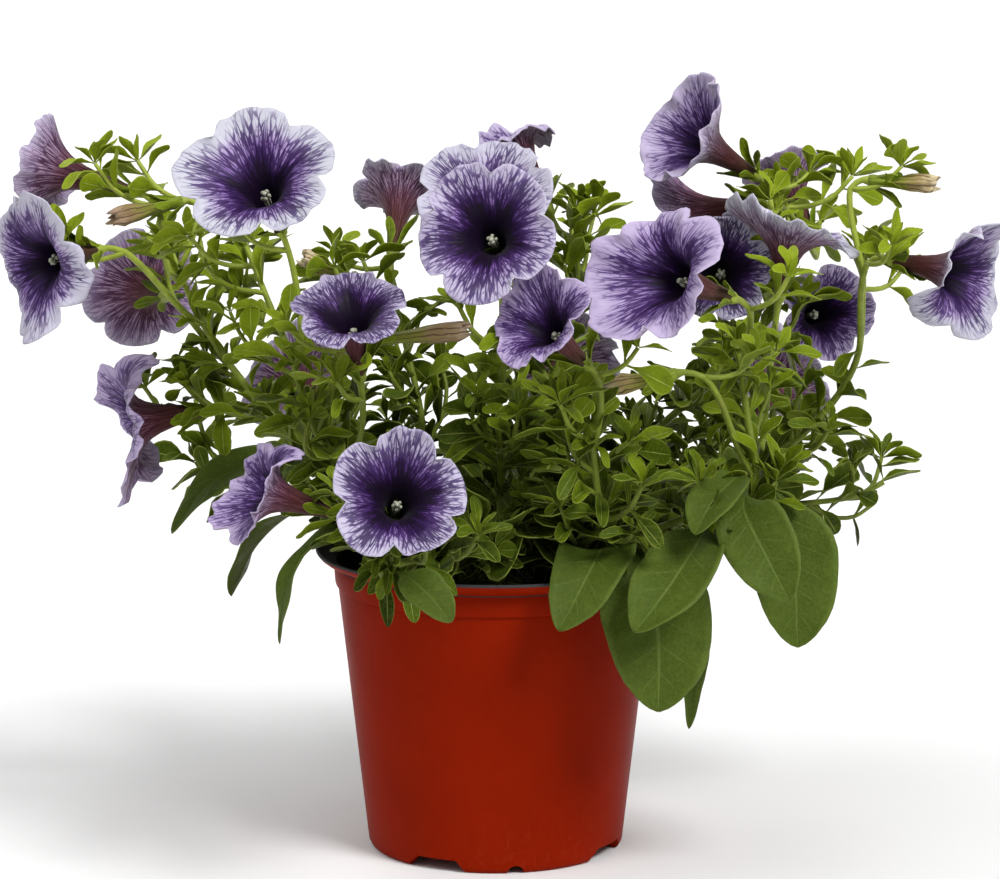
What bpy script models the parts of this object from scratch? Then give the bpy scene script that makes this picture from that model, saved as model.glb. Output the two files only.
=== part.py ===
# Petunia plant in a round nursery pot.
# Metres, +Z up. The pot stands on z = 0 and its axis is the Z axis; the front of the plant faces -Y.
import math

import bmesh
import bpy
from mathutils import Vector

MM = 0.001

# Pot: a thin injection-moulded cone with a flared lip, a collar band and four feet.
POT_HEIGHT = 110.0 * MM
LIP_RADIUS = 65.0 * MM
COLLAR_RADIUS = 58.3 * MM
BODY_TOP_RADIUS = 56.9 * MM
BODY_BASE_RADIUS = 45.9 * MM
WALL = 1.4 * MM
FLOOR_UNDERSIDE = 6.0 * MM
FLOOR_TOP = 7.4 * MM
FOOT_HEIGHT = 4.5 * MM
FOOT_COUNT = 4
FOOT_TURN = 9.0
NOTCH_RADIUS = 3.0 * MM
DRAIN_COUNT = 6
DRAIN_RADIUS = 4.0 * MM
DRAIN_CIRCLE = 27.0 * MM
POT_SEGMENTS = 60

# Growing medium: fills the pot to a little below the lip.
SOIL_GAP = 0.35 * MM
SOIL_PROFILE = [(0.0, 99.0), (16.0, 98.8), (32.0, 98.2), (46.0, 97.2)]
SOIL_EDGE_HEIGHT = 96.0 * MM
SOIL_SEGMENTS = 30

# Gap left between the end of one stalk and the stem or flower it grows from.
JOINT_GAP = 0.35 * MM

# Stems: the points each one passes through, in millimetres, and its radius at the root and tip.
STEMS = {
    "stem_left_upper": ([(-20, 0), (-43, -12, 122), (-66, -22, 145), (-87, -18, 170), (-104, -8, 192), (-116, 3, 217)], 1.9, 1.2),
    "stem_left_front": ([(-15, -20), (-43, -35, 136), (-62, -45, 159), (-71, -45, 186), (-80, -35, 206), (-88, -22, 223)], 1.9, 1.1),
    "stem_centre_left": ([(-9, 5), (-23, 10, 136), (-28, 15, 161), (-34, 25, 185), (-38, 36, 197)], 1.6, 1.1),
    "stem_centre_front": ([(-2, -10), (2, -20, 138), (1, -27, 161), (3, -35, 183), (4, -44, 194)], 1.6, 1.1),
    "stem_centre_tall": ([(6, 4), (10, 7, 129), (16, 10, 156), (25, 12, 181), (30, 12, 205), (27, 10, 224)], 1.6, 1.0),
    "stem_front_short": ([(12, -25), (36, -50, 126), (35, -62, 147), (33, -67, 168)], 1.7, 1.3),
    "stem_right_front": ([(19, -10), (50, -34, 121), (75, -45, 133), (91, -45, 144), (89, -40, 162), (85, -32, 190)], 2.0, 1.3),
    "stem_right_outer": ([(22, 6), (56, 12, 124), (94, 15, 136), (117, 15, 154), (131, 14, 178), (132, 16, 214)], 1.9, 1.2),
    "stem_right_tall": ([(11, 18), (38, 30, 128), (67, 35, 153), (92, 32, 177), (102, 28, 203), (99, 20, 233)], 1.8, 1.1),
    "stem_back_left": ([(-14, 24), (-34, 56, 119), (-56, 82, 126), (-72, 90, 138)], 1.7, 1.3),
    "stem_back_centre": ([(2, 32), (10, 66, 121), (18, 90, 128), (22, 98, 142)], 1.7, 1.3),
    "stem_back_right": ([(18, 26), (46, 58, 120), (72, 74, 126), (88, 82, 138)], 1.7, 1.3),
    "stem_front_rim": ([(-11, -32), (-20, -54, 117), (-29, -74, 121), (-36, -88, 122)], 1.7, 1.4),
    "stem_left_low": ([(-26, 14), (-57, 33, 119), (-83, 43, 124), (-104, 45, 134), (-110, 40, 156)], 1.6, 1.0),
    "stem_right_low": ([(24, 16), (57, 22, 117), (97, 30, 118), (128, 30, 121), (142, 30, 127)], 1.6, 1.0),
}

# Flowers: centre of the open face (mm), the way it faces, face diameter, depth, the stem it grows
# from, and how far along that stem its stalk starts.
FLOWERS = {
    "flower_01": ((-163, 15, 246), (-0.95, 0.12, 0.25), 42, 36, "stem_left_upper", 0.93),
    "flower_02": ((-82, -80, 258), (-0.22, -0.68, 0.69), 55, 36, "stem_left_front", 0.66),
    "flower_03": ((-164, -46, 220), (-0.70, -0.70, -0.05), 53, 35, "stem_left_upper", 0.84),
    "flower_04": ((-130, 45, 197), (-0.35, 0.92, -0.05), 44, 33, "stem_left_upper", 0.74),
    "flower_05": ((-35, 85, 227), (0.10, 0.75, 0.65), 38, 32, "stem_centre_left", 0.93),
    "flower_06": ((-4, 6, 238), (-0.12, -0.62, 0.75), 50, 36, "stem_centre_front", 0.70),
    "flower_07": ((-4, -95, 241), (-0.20, -0.85, 0.42), 51, 36, "stem_centre_front", 0.92),
    "flower_08": ((5, 45, 256), (-0.42, 0.25, 0.87), 34, 35, "stem_centre_tall", 0.95),
    "flower_09": ((-50, -90, 214), (-0.10, -0.45, 0.88), 41, 33, "stem_left_front", 0.42),
    "flower_10": ((14, -105, 212), (-0.54, -0.58, 0.61), 39, 33, "stem_front_short", 0.93),
    "flower_11": ((53, -88, 225), (-0.71, -0.62, 0.33), 56, 42, "stem_right_front", 0.94),
    "flower_12": ((69, 20, 257), (-0.72, -0.45, 0.50), 45, 36, "stem_right_tall", 0.95),
    "flower_13": ((105, -4, 228), (0.14, -0.02, 0.99), 54, 28, "stem_right_front", 0.70),
    "flower_14": ((81, 0, 211), (0.00, -0.92, 0.30), 39, 30, "stem_right_tall", 0.62),
    "flower_15": ((108, 90, 233), (-0.30, 0.50, 0.80), 34, 30, "stem_right_tall", 0.97),
    "flower_16": ((121, 40, 188), (0.30, -0.88, 0.20), 36, 32, "stem_right_outer", 0.62),
    "flower_17": ((168, -26, 213), (0.80, -0.58, -0.08), 50, 35, "stem_right_outer", 0.84),
    "flower_18": ((-136, -10, 156), (-0.95, -0.12, -0.15), 58, 35, "stem_left_upper", 0.36),
    "flower_19": ((-84, -89, 150), (-0.91, -0.22, 0.34), 42, 33, "stem_front_rim", 0.93),
    "flower_20": ((-32, -124, 155), (0.12, -0.86, 0.49), 47, 33, "stem_front_rim", 0.72),
    "flower_21": ((65, 50, 224), (-0.90, 0.20, -0.10), 40, 34, "stem_right_tall", 0.88),
    "flower_22": ((-78, 122, 150), (-0.45, 0.80, 0.40), 46, 33, "stem_back_left", 0.94),
    "flower_23": ((24, 121, 160), (0.10, 0.85, 0.50), 50, 33, "stem_back_centre", 0.94),
    "flower_24": ((108, 112, 150), (0.50, 0.75, 0.40), 48, 33, "stem_back_right", 0.94),
}

# Closed and spent flowers: base of the calyx (mm), tip (mm), thickest radius, stem and place on it.
BUDS = {
    "bud_left": ((-112, 4, 235), (-137, -4, 230), 3.0, "stem_left_upper", 0.97),
    "bud_centre_left": ((-52, 14, 204), (-69, 6, 215), 3.0, "stem_centre_left", 0.78),
    "bud_centre_long": ((-45, -62, 196), (-10, -66, 201), 3.2, "stem_left_front", 0.52),
    "bud_right_pale": ((63, -58, 184), (38, -54, 178), 3.6, "stem_right_front", 0.68),
    "bud_right_top": ((134, 14, 241), (158, 10, 240), 2.8, "stem_right_outer", 0.95),
}

# Broad leaves: four points along the midrib (mm), greatest width, and the way the upper face looks.
LEAVES = {
    "leaf_front_large": ([(48, -41, 121), (52, -56, 113), (57, -67, 93), (57, -71, 66)], 36, (0.1, -1.0, 0.25)),
    "leaf_right_inner": ([(88, -50, 141), (87, -63, 136), (94, -75, 123), (102, -81, 108)], 24, (-0.2, -0.9, 0.4)),
    "leaf_right_outer": ([(95, -47, 142), (101, -53, 134), (105, -59, 112), (106, -62, 87)], 29, (0.15, -1.0, 0.3)),
    "leaf_front_second": ([(75, -49, 131), (70, -64, 125), (60, -79, 113), (48, -90, 99)], 26, (-0.35, -0.8, 0.5)),
    "leaf_front_third": ([(35, -31, 113), (37, -53, 121), (31, -70, 113), (22, -79, 97)], 25, (-0.2, -0.8, 0.5)),
    "leaf_front_narrow": ([(57, -30, 118), (67, -36, 108), (71, -36, 82), (69, -36, 51)], 9, (0.3, -0.9, 0.2)),
    "leaf_right_fold": ([(88, -51, 147), (83, -60, 147), (75, -70, 141), (69, -78, 131)], 17, (-0.3, -0.6, 0.7)),
    "leaf_left_narrow": ([(-48, -19, 122), (-62, -27, 120), (-74, -31, 104), (-77, -31, 81)], 9, (-0.8, -0.4, 0.4)),
    "leaf_left_arched": ([(-64, -16, 141), (-80, 4, 141), (-103, 7, 132), (-117, 2, 114)], 15, (-0.5, -0.5, 0.7)),
    "leaf_rim_front": ([(-34, -92, 121), (-29, -98, 120), (-22, -104, 115), (-15, -108, 107)], 14, (0.2, -0.8, 0.6)),
    "leaf_back_left": ([(-38, 64, 118), (-46, 79, 117), (-55, 92, 105), (-60, 100, 86)], 26, (-0.4, 0.8, 0.4)),
    "leaf_back_centre": ([(10, 70, 119), (6, 86, 117), (3, 100, 103), (0, 106, 80)], 30, (0.0, 1.0, 0.3)),
    "leaf_back_right": ([(49, 63, 119), (62, 78, 116), (74, 90, 101), (80, 96, 80)], 28, (0.5, 0.7, 0.3)),
    "leaf_back_outer": ([(-60, 36, 117), (-76, 42, 113), (-90, 47, 99), (-98, 49, 80)], 22, (-0.8, 0.3, 0.4)),
}

# Principled base colours and roughness.
FINISHES = {
    "pot_plastic": ((0.26, 0.035, 0.012), 0.35),
    "soil": ((0.02, 0.013, 0.009), 0.95),
    "stem_green": ((0.16, 0.26, 0.03), 0.55),
    "leaf_green": ((0.07, 0.15, 0.02), 0.5),
    "petal_violet": ((0.22, 0.12, 0.45), 0.6),
    "bud_green": ((0.22, 0.2, 0.06), 0.6),
}


def clear_scene():
    for old in list(bpy.data.objects):
        bpy.data.objects.remove(old, do_unlink=True)


def make_finish(name):
    colour, roughness = FINISHES[name]
    finish = bpy.data.materials.new(name)
    finish.use_nodes = True
    shader = finish.node_tree.nodes["Principled BSDF"]
    shader.inputs["Base Color"].default_value = (*colour, 1.0)
    shader.inputs["Roughness"].default_value = roughness
    return finish


def add_object(name, points, faces, finish):
    mesh = bpy.data.meshes.new(name)
    mesh.from_pydata([tuple(point) for point in points], [], faces)
    fix = bmesh.new()
    fix.from_mesh(mesh)
    bmesh.ops.recalc_face_normals(fix, faces=fix.faces[:])
    fix.to_mesh(mesh)
    fix.free()
    mesh.materials.append(finish)
    made = bpy.data.objects.new(name, mesh)
    bpy.context.scene.collection.objects.link(made)
    return made


def smooth_path(points, per_span):
    # Catmull-Rom curve through the points, as (position, unit direction) pairs.
    padded = [points[0] * 2 - points[1]] + points + [points[-1] * 2 - points[-2]]
    samples = []
    for i in range(1, len(padded) - 2):
        a, b, c, d = padded[i - 1 : i + 3]
        last = i == len(padded) - 3
        for k in range(per_span + (1 if last else 0)):
            t = k / per_span
            position = (b * 2 + (c - a) * t + (a * 2 - b * 5 + c * 4 - d) * t**2 + (b * 3 - a - c * 3 + d) * t**3) / 2
            direction = (c - a + (a * 2 - b * 5 + c * 4 - d) * 2 * t + (b * 3 - a - c * 3 + d) * 3 * t**2) / 2
            samples.append((position, direction.normalized()))
    return samples


def hermite(start, start_pull, end, end_pull, count):
    # Curve from start to end that leaves along start_pull and arrives along end_pull.
    samples = []
    for k in range(count):
        t = k / (count - 1)
        position = start * (2 * t**3 - 3 * t**2 + 1) + start_pull * (t**3 - 2 * t**2 + t)
        position = position + end * (3 * t**2 - 2 * t**3) + end_pull * (t**3 - t**2)
        direction = start * (6 * t**2 - 6 * t) + start_pull * (3 * t**2 - 4 * t + 1)
        direction = direction + end * (6 * t - 6 * t**2) + end_pull * (3 * t**2 - 2 * t)
        samples.append((position, direction.normalized()))
    return samples


class Loft:
    # A closed skin laid over rings of points; each ring has as many points as the last, twice or half.
    def __init__(self):
        self.points = []
        self.faces = []
        self.ring = None
        self.side = None

    def start(self, pole):
        self.points.append(pole)
        self.ring = [0]

    def carry(self, direction):
        # Turn the reference side as little as possible from ring to ring.
        if self.side is None:
            self.side = Vector((0.3, 0.2, 1.0)) if abs(direction.z) < 0.8 else Vector((1.0, 0.2, 0.0))
        self.side = (self.side - direction * self.side.dot(direction)).normalized()
        return self.side, direction.cross(self.side)

    def add_ring(self, centre, direction, radii, shifts=None):
        u, v = self.carry(direction)
        count = len(radii)
        made = []
        for i, radius in enumerate(radii):
            angle = math.tau * i / count
            shift = direction * shifts[i] if shifts else Vector()
            made.append(len(self.points))
            self.points.append(centre + u * math.cos(angle) * radius + v * math.sin(angle) * radius + shift)
        self.join(made)

    def join(self, new):
        old = self.ring
        if len(old) == 1:
            for i, point in enumerate(new):
                self.faces.append((old[0], point, new[(i + 1) % len(new)]))
        elif len(new) == 1:
            for i, point in enumerate(old):
                self.faces.append((point, old[(i + 1) % len(old)], new[0]))
        elif len(new) == len(old):
            for i, point in enumerate(old):
                j = (i + 1) % len(old)
                self.faces.append((point, old[j], new[j]))
                self.faces.append((point, new[j], new[i]))
        elif len(new) == 2 * len(old):
            for i, point in enumerate(old):
                j = (i + 1) % len(old)
                self.faces.append((point, new[2 * i + 1], new[2 * i]))
                self.faces.append((point, old[j], new[2 * i + 1]))
                self.faces.append((old[j], new[(2 * i + 2) % len(new)], new[2 * i + 1]))
        else:
            for i, point in enumerate(new):
                j = (i + 1) % len(new)
                self.faces.append((point, old[2 * i], old[2 * i + 1]))
                self.faces.append((point, old[2 * i + 1], new[j]))
                self.faces.append((new[j], old[2 * i + 1], old[(2 * i + 2) % len(old)]))
        self.ring = new

    def finish(self, pole):
        self.points.append(pole)
        self.join([len(self.points) - 1])


def soil_height(radius):
    for (r0, z0), (r1, z1) in zip(SOIL_PROFILE, SOIL_PROFILE[1:]):
        if radius <= r1:
            return z0 + (z1 - z0) * (radius - r0) / (r1 - r0)
    return SOIL_PROFILE[-1][1]


def wall_radius(height):
    # Outer radius of the plain cone at a height above the table.
    share = height / (96.2 * MM)
    return BODY_BASE_RADIUS + (BODY_TOP_RADIUS - BODY_BASE_RADIUS) * share


def wedge_cutter(name, angle, half_low, half_high):
    # A block that clears the foot ring between two feet; its sides lean like the feet's ends.
    points = []
    for height, half in ((-2.0 * MM, half_low), (FOOT_HEIGHT, half_high)):
        for radius, side in ((34.0 * MM, -1), (60.0 * MM, -1), (60.0 * MM, 1), (34.0 * MM, 1)):
            turn = math.radians(angle + side * half)
            points.append(Vector((radius * math.cos(turn), radius * math.sin(turn), height)))
    faces = [(3, 2, 1, 0), (4, 5, 6, 7), (0, 1, 5, 4), (1, 2, 6, 5), (2, 3, 7, 6), (3, 0, 4, 7)]
    return add_object(name, points, faces, FINISH["pot_plastic"])


def rod_cutter(name, centre, direction, radius, length, sides):
    loft = Loft()
    half = direction * length / 2
    loft.start(centre - half)
    loft.add_ring(centre - half, direction, [radius] * sides)
    loft.add_ring(centre + half, direction, [radius] * sides)
    loft.finish(centre + half)
    return add_object(name, loft.points, loft.faces, FINISH["pot_plastic"])


def cut(target, cutters):
    for cutter in cutters:
        cutter.hide_render = True
        cutter.display_type = "WIRE"
        modifier = target.modifiers.new("cut_" + cutter.name, "BOOLEAN")
        modifier.operation = "DIFFERENCE"
        modifier.solver = "EXACT"
        modifier.object = cutter


def build_pot():
    outer = [
        (BODY_BASE_RADIUS - 1.2 * MM, 0.0),
        (BODY_BASE_RADIUS + 0.1 * MM, 1.4 * MM),
        (wall_radius(48.0 * MM), 48.0 * MM),
        (BODY_TOP_RADIUS, 96.0 * MM),
        (COLLAR_RADIUS - 0.6 * MM, 96.7 * MM),
        (COLLAR_RADIUS, 104.9 * MM),
        (COLLAR_RADIUS + 1.8 * MM, 105.7 * MM),
        (COLLAR_RADIUS + 4.6 * MM, 107.0 * MM),
        (LIP_RADIUS - 0.3 * MM, 108.6 * MM),
        (LIP_RADIUS, 109.6 * MM),
        (LIP_RADIUS - 0.5 * MM, POT_HEIGHT),
    ]
    inner = [
        (LIP_RADIUS - 1.4 * MM, 109.7 * MM),
        (LIP_RADIUS - 2.4 * MM, 108.5 * MM),
        (COLLAR_RADIUS + 1.4 * MM, 107.2 * MM),
        (COLLAR_RADIUS - 1.3 * MM, 105.8 * MM),
        (BODY_TOP_RADIUS - WALL, 96.0 * MM),
        (wall_radius(10.0 * MM) - WALL, 10.0 * MM),
        (wall_radius(8.0 * MM) - 3.6 * MM, FLOOR_TOP),
    ]
    under = [
        (BODY_BASE_RADIUS - 2.9 * MM, FLOOR_UNDERSIDE),
        (BODY_BASE_RADIUS - 3.1 * MM, 0.0),
    ]
    profile = outer + inner
    points = []
    faces = []
    rings = []
    for radius, height in profile:
        rings.append([len(points) + i for i in range(POT_SEGMENTS)])
        for i in range(POT_SEGMENTS):
            turn = math.tau * i / POT_SEGMENTS
            points.append(Vector((radius * math.cos(turn), radius * math.sin(turn), height)))
    centre_top = len(points)
    points.append(Vector((0.0, 0.0, FLOOR_TOP)))
    low_rings = []
    for radius, height in under:
        low_rings.append([len(points) + i for i in range(POT_SEGMENTS)])
        for i in range(POT_SEGMENTS):
            turn = math.tau * i / POT_SEGMENTS
            points.append(Vector((radius * math.cos(turn), radius * math.sin(turn), height)))
    centre_under = len(points)
    points.append(Vector((0.0, 0.0, FLOOR_UNDERSIDE)))
    chain = [low_rings[0], low_rings[1]] + rings
    for a, b in zip(chain, chain[1:]):
        for i in range(POT_SEGMENTS):
            j = (i + 1) % POT_SEGMENTS
            faces.append((a[i], a[j], b[j], b[i]))
    for i in range(POT_SEGMENTS):
        j = (i + 1) % POT_SEGMENTS
        faces.append((rings[-1][i], rings[-1][j], centre_top))
        faces.append((low_rings[0][j], low_rings[0][i], centre_under))
    pot = add_object("pot_shell", points, faces, FINISH["pot_plastic"])
    cutters = []
    for i in range(FOOT_COUNT):
        # Feet are counted from the front of the pot, turning towards +X.
        middle = -90.0 + FOOT_TURN + 360.0 * i / FOOT_COUNT
        gap = middle + 53.5
        cutters.append(wedge_cutter("clear_gap_%d" % (i + 1), gap, 17.9, 9.6))
        turn = math.radians(middle)
        outward = Vector((math.cos(turn), math.sin(turn), 0.0))
        centre = outward * 44.0 * MM
        cutters.append(rod_cutter("clear_notch_%d" % (i + 1), centre, outward, NOTCH_RADIUS, 14.0 * MM, 12))
    for i in range(DRAIN_COUNT):
        turn = math.radians(30.0 + 360.0 * i / DRAIN_COUNT)
        centre = Vector((math.cos(turn), math.sin(turn), 0.0)) * DRAIN_CIRCLE
        centre.z = FLOOR_TOP
        cutters.append(rod_cutter("clear_drain_%d" % (i + 1), centre, Vector((0.0, 0.0, 1.0)), DRAIN_RADIUS, 12.0 * MM, 12))
    cut(pot, cutters)


def build_soil():
    # The crumbs lie in low mounds; the sides follow the inside of the wall.
    loft = Loft()
    loft.start(Vector((0.0, 0.0, FLOOR_TOP + SOIL_GAP)))
    loft.side = Vector((1.0, 0.0, 0.0))
    up = Vector((0.0, 0.0, 1.0))
    bottom = FLOOR_TOP + SOIL_GAP + 0.3 * MM
    low_radius = wall_radius(8.0 * MM) - 4.2 * MM
    loft.add_ring(up * bottom, up, [low_radius] * SOIL_SEGMENTS)
    loft.add_ring(up * 10.6 * MM, up, [wall_radius(10.6 * MM) - WALL - SOIL_GAP * 1.6] * SOIL_SEGMENTS)
    top_radius = wall_radius(SOIL_EDGE_HEIGHT) - WALL - SOIL_GAP * 1.6
    loft.add_ring(up * SOIL_EDGE_HEIGHT, up, [top_radius] * SOIL_SEGMENTS)
    for radius, height in reversed(SOIL_PROFILE[1:]):
        bumps = [0.25 * MM * math.sin(3.1 * i + radius) - 0.25 * MM for i in range(SOIL_SEGMENTS)]
        loft.add_ring(up * height * MM, up, [radius * MM] * SOIL_SEGMENTS, bumps)
    loft.finish(up * SOIL_PROFILE[0][1] * MM)
    add_object("potting_soil", loft.points, loft.faces, FINISH["soil"])


def build_stem(name, route, root_radius, tip_radius):
    x, y = route[0]
    ground = soil_height(math.hypot(x, y)) * MM + JOINT_GAP
    points = [Vector((x * MM, y * MM, ground))]
    points += [Vector(place) * MM for place in route[1:]]
    points.insert(1, (points[0] * 2 + points[1]) / 3 + Vector((0.0, 0.0, 5.0 * MM)))
    path = smooth_path(points, 2)
    path[0] = (path[0][0], Vector((0.0, 0.0, 1.0)))
    loft = Loft()
    loft.start(path[0][0] - Vector((0.0, 0.0, 0.15 * MM)))
    for i, (centre, direction) in enumerate(path):
        share = i / (len(path) - 1)
        radius = (root_radius + (tip_radius - root_radius) * share) * MM
        loft.add_ring(centre, direction, [radius] * 6)
    loft.finish(path[-1][0] + path[-1][1] * 0.9 * MM)
    add_object(name, loft.points, loft.faces, FINISH["stem_green"])
    return smooth_path(points, 20), root_radius * MM, tip_radius * MM


def stalk(loft, stem, share, end, arrive, radius):
    # A thin stalk from the side of a stem to the calyx, leaving square to the stem.
    path, root_radius, tip_radius = PATHS[stem]
    centre, direction = path[round(share * (len(path) - 1))]
    stem_radius = root_radius + (tip_radius - root_radius) * share
    away = end - centre
    away = (away - direction * away.dot(direction)).normalized()
    start = centre + away * (stem_radius + JOINT_GAP + 0.2 * MM)
    reach = (end - start).length
    leave = (away * 0.75 + direction * 0.45).normalized()
    curve = hermite(start, leave * reach * 0.9, end, arrive * reach * 0.9, 6)
    loft.start(start - away * 0.1 * MM)
    loft.add_ring(start, (away * 0.9 + leave * 0.1).normalized(), [radius * 0.9] * 5)
    for position, heading in curve[1:]:
        loft.add_ring(position, heading, [radius] * 5)


def build_flower(name, centre, facing, diameter, depth, stem, share):
    axis = Vector(facing).normalized()
    face = Vector(centre) * MM
    length = depth * MM
    base = face - axis * length
    outer = diameter * MM / 2
    loft = Loft()
    stalk(loft, stem, share, base - axis * 3.0 * MM, axis, 1.0 * MM)
    # Swollen green calyx, then a tube that widens into a five-lobed face.
    loft.add_ring(base, axis, [2.4 * MM] * 5)
    loft.add_ring(base + axis * 4.0 * MM, axis, [2.2 * MM] * 5)
    neck = 2.3 * MM
    for place in (0.36, 0.58):
        loft.add_ring(base + axis * length * place, axis, [neck + (outer - neck) * place**3.4] * 5)
    for place in (0.78, 0.92):
        loft.add_ring(base + axis * length * place, axis, [neck + (outer - neck) * place**3.4] * 10)
    lobes = [outer if i % 2 == 0 else outer * 0.88 for i in range(10)]
    bend = [-0.9 * MM if i % 2 == 0 else 0.5 * MM for i in range(10)]
    loft.add_ring(face - axis * 0.4 * MM, axis, lobes, bend)
    loft.add_ring(face + axis * 0.5 * MM, axis, [value - 0.5 * MM for value in lobes], bend)
    loft.add_ring(base + axis * (length * 0.92 + 1.3 * MM), axis, [neck + (outer - neck) * 0.92**3.4] * 10)
    loft.add_ring(base + axis * (length * 0.78 + 1.6 * MM), axis, [(neck + (outer - neck) * 0.78**3.4) * 0.94] * 10)
    loft.add_ring(base + axis * (length * 0.62), axis, [(neck + (outer - neck) * 0.58**3.4) * 0.6] * 5)
    loft.finish(base + axis * length * 0.5)
    add_object(name, loft.points, loft.faces, FINISH["petal_violet"])


def build_bud(name, base, tip, thick, stem, share):
    start = Vector(base) * MM
    end = Vector(tip) * MM
    axis = (end - start).normalized()
    length = (end - start).length
    loft = Loft()
    stalk(loft, stem, share, start - axis * 2.5 * MM, axis, 1.0 * MM)
    loft.add_ring(start, axis, [2.3 * MM] * 5)
    loft.add_ring(start + axis * length * 0.3, axis, [thick * 0.8 * MM] * 5)
    loft.add_ring(start + axis * length * 0.6, axis, [thick * MM] * 5)
    loft.add_ring(start + axis * length * 0.88, axis, [thick * 0.75 * MM] * 5)
    loft.finish(end)
    add_object(name, loft.points, loft.faces, FINISH["bud_green"])


def build_leaf(name, route, width, upper):
    # A folded blade: narrow stalk end, broad middle, pointed tip.
    path = smooth_path([Vector(place) * MM for place in route], 3)
    normal_hint = Vector(upper).normalized()
    points = []
    faces = []
    shares = (0.1, 0.16, 0.5, 0.84, 0.98, 1.0, 0.95, 0.8, 0.5)
    stations = path[: len(shares)]
    points.append(path[0][0] - path[0][1] * 0.2 * MM)
    for (centre, direction), share in zip(stations, shares):
        across = direction.cross(normal_hint).normalized()
        normal = across.cross(direction).normalized()
        half = max(width * MM / 2 * share, 1.2 * MM)
        fold = half * 0.16
        thick = 0.45 * MM + 0.35 * MM * (1.0 - share)
        points.append(centre - across * half + normal * fold)
        points.append(centre + normal * (thick - fold * 0.4))
        points.append(centre + across * half + normal * fold)
        points.append(centre - normal * (thick + fold * 0.4))
    points.append(path[-1][0])
    for k in range(len(stations) - 1):
        for i in range(4):
            a = 1 + 4 * k + i
            b = 1 + 4 * k + (i + 1) % 4
            faces.append((a, b, b + 4, a + 4))
    last = 1 + 4 * (len(stations) - 1)
    for i in range(4):
        j = (i + 1) % 4
        faces.append((1 + j, 1 + i, 0))
        faces.append((last + i, last + j, len(points) - 1))
    add_object(name, points, faces, FINISH["leaf_green"])


clear_scene()
FINISH = {name: make_finish(name) for name in FINISHES}
build_pot()
build_soil()
PATHS = {name: build_stem(name, *spec) for name, spec in STEMS.items()}
for name, spec in FLOWERS.items():
    build_flower(name, *spec)
for name, spec in BUDS.items():
    build_bud(name, *spec)
for name, spec in LEAVES.items():
    build_leaf(name, *spec)
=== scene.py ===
# %% [markdown]
# # A petunia in its nursery pot
# The object is one bushy petunia that still stands in the thin plastic pot it was raised in.
# The solid model gives the pot, the soil, every stem, flower, bud and broad leaf its true place.
# This lesson keeps those places and grows finer pieces on them: petals with dark veins, hairy
# stems, hundreds of small leaves, and a pot with a smooth, slightly worn skin.

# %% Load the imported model
import math
import random

import bmesh
import bpy
import numpy as np
from mathutils import Matrix, Vector, noise


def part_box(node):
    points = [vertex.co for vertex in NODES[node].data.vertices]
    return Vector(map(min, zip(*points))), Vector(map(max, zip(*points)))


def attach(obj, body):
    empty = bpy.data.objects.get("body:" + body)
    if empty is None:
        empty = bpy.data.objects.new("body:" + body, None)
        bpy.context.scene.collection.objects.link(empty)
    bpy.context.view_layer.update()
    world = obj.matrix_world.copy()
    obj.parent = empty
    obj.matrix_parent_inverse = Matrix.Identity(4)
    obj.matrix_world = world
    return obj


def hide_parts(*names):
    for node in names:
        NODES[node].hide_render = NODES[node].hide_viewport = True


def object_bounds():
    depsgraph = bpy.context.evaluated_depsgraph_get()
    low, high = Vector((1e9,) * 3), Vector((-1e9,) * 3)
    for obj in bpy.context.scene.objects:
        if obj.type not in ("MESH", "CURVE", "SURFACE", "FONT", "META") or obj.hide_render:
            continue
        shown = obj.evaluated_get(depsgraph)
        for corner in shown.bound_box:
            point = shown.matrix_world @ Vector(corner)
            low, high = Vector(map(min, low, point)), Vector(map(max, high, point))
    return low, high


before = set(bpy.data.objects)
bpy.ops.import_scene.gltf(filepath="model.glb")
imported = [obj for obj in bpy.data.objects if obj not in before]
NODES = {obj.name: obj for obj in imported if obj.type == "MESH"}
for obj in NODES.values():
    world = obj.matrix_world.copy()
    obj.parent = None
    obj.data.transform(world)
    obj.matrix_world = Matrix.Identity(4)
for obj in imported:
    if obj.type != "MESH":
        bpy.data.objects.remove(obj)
CAD_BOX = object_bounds()
MM = 0.001
rng = random.Random(41)
print("solid model", [round(v, 3) for corner in CAD_BOX for v in corner])

# %% [markdown]
# ## Two habits for a tidy session
# Operators act on whatever is selected, so each piece starts from an empty selection. Each piece
# ends with its place in its mesh, its object at the origin, and a body to ride on.


# %% Selection and finishing helpers
def clear_selection():
    if bpy.context.object and bpy.context.object.mode != "OBJECT":
        bpy.ops.object.mode_set(mode="OBJECT")
    bpy.ops.object.select_all(action="DESELECT")


def pick(*pieces):
    clear_selection()
    for piece in pieces:
        piece.select_set(True)
    bpy.context.view_layer.objects.active = pieces[0]


def settle(piece):
    # Move the object's place into its mesh.
    pick(piece)
    bpy.ops.object.transform_apply(location=True, rotation=True, scale=True)


def tidy_skin(piece, merge=1e-6):
    pick(piece)
    bpy.ops.object.mode_set(mode="EDIT")
    bpy.ops.mesh.select_all(action="SELECT")
    bpy.ops.mesh.remove_doubles(threshold=merge)
    bpy.ops.mesh.normals_make_consistent(inside=False)
    bpy.ops.object.mode_set(mode="OBJECT")


def joined(name, pieces):
    pick(*pieces)
    if len(pieces) > 1:
        bpy.ops.object.join()
    whole = bpy.context.object
    whole.name = name
    whole.data.name = name
    return whole


def apply_modifiers(piece):
    pick(piece)
    for modifier in list(piece.modifiers):
        bpy.ops.object.modifier_apply(modifier=modifier.name)


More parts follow.
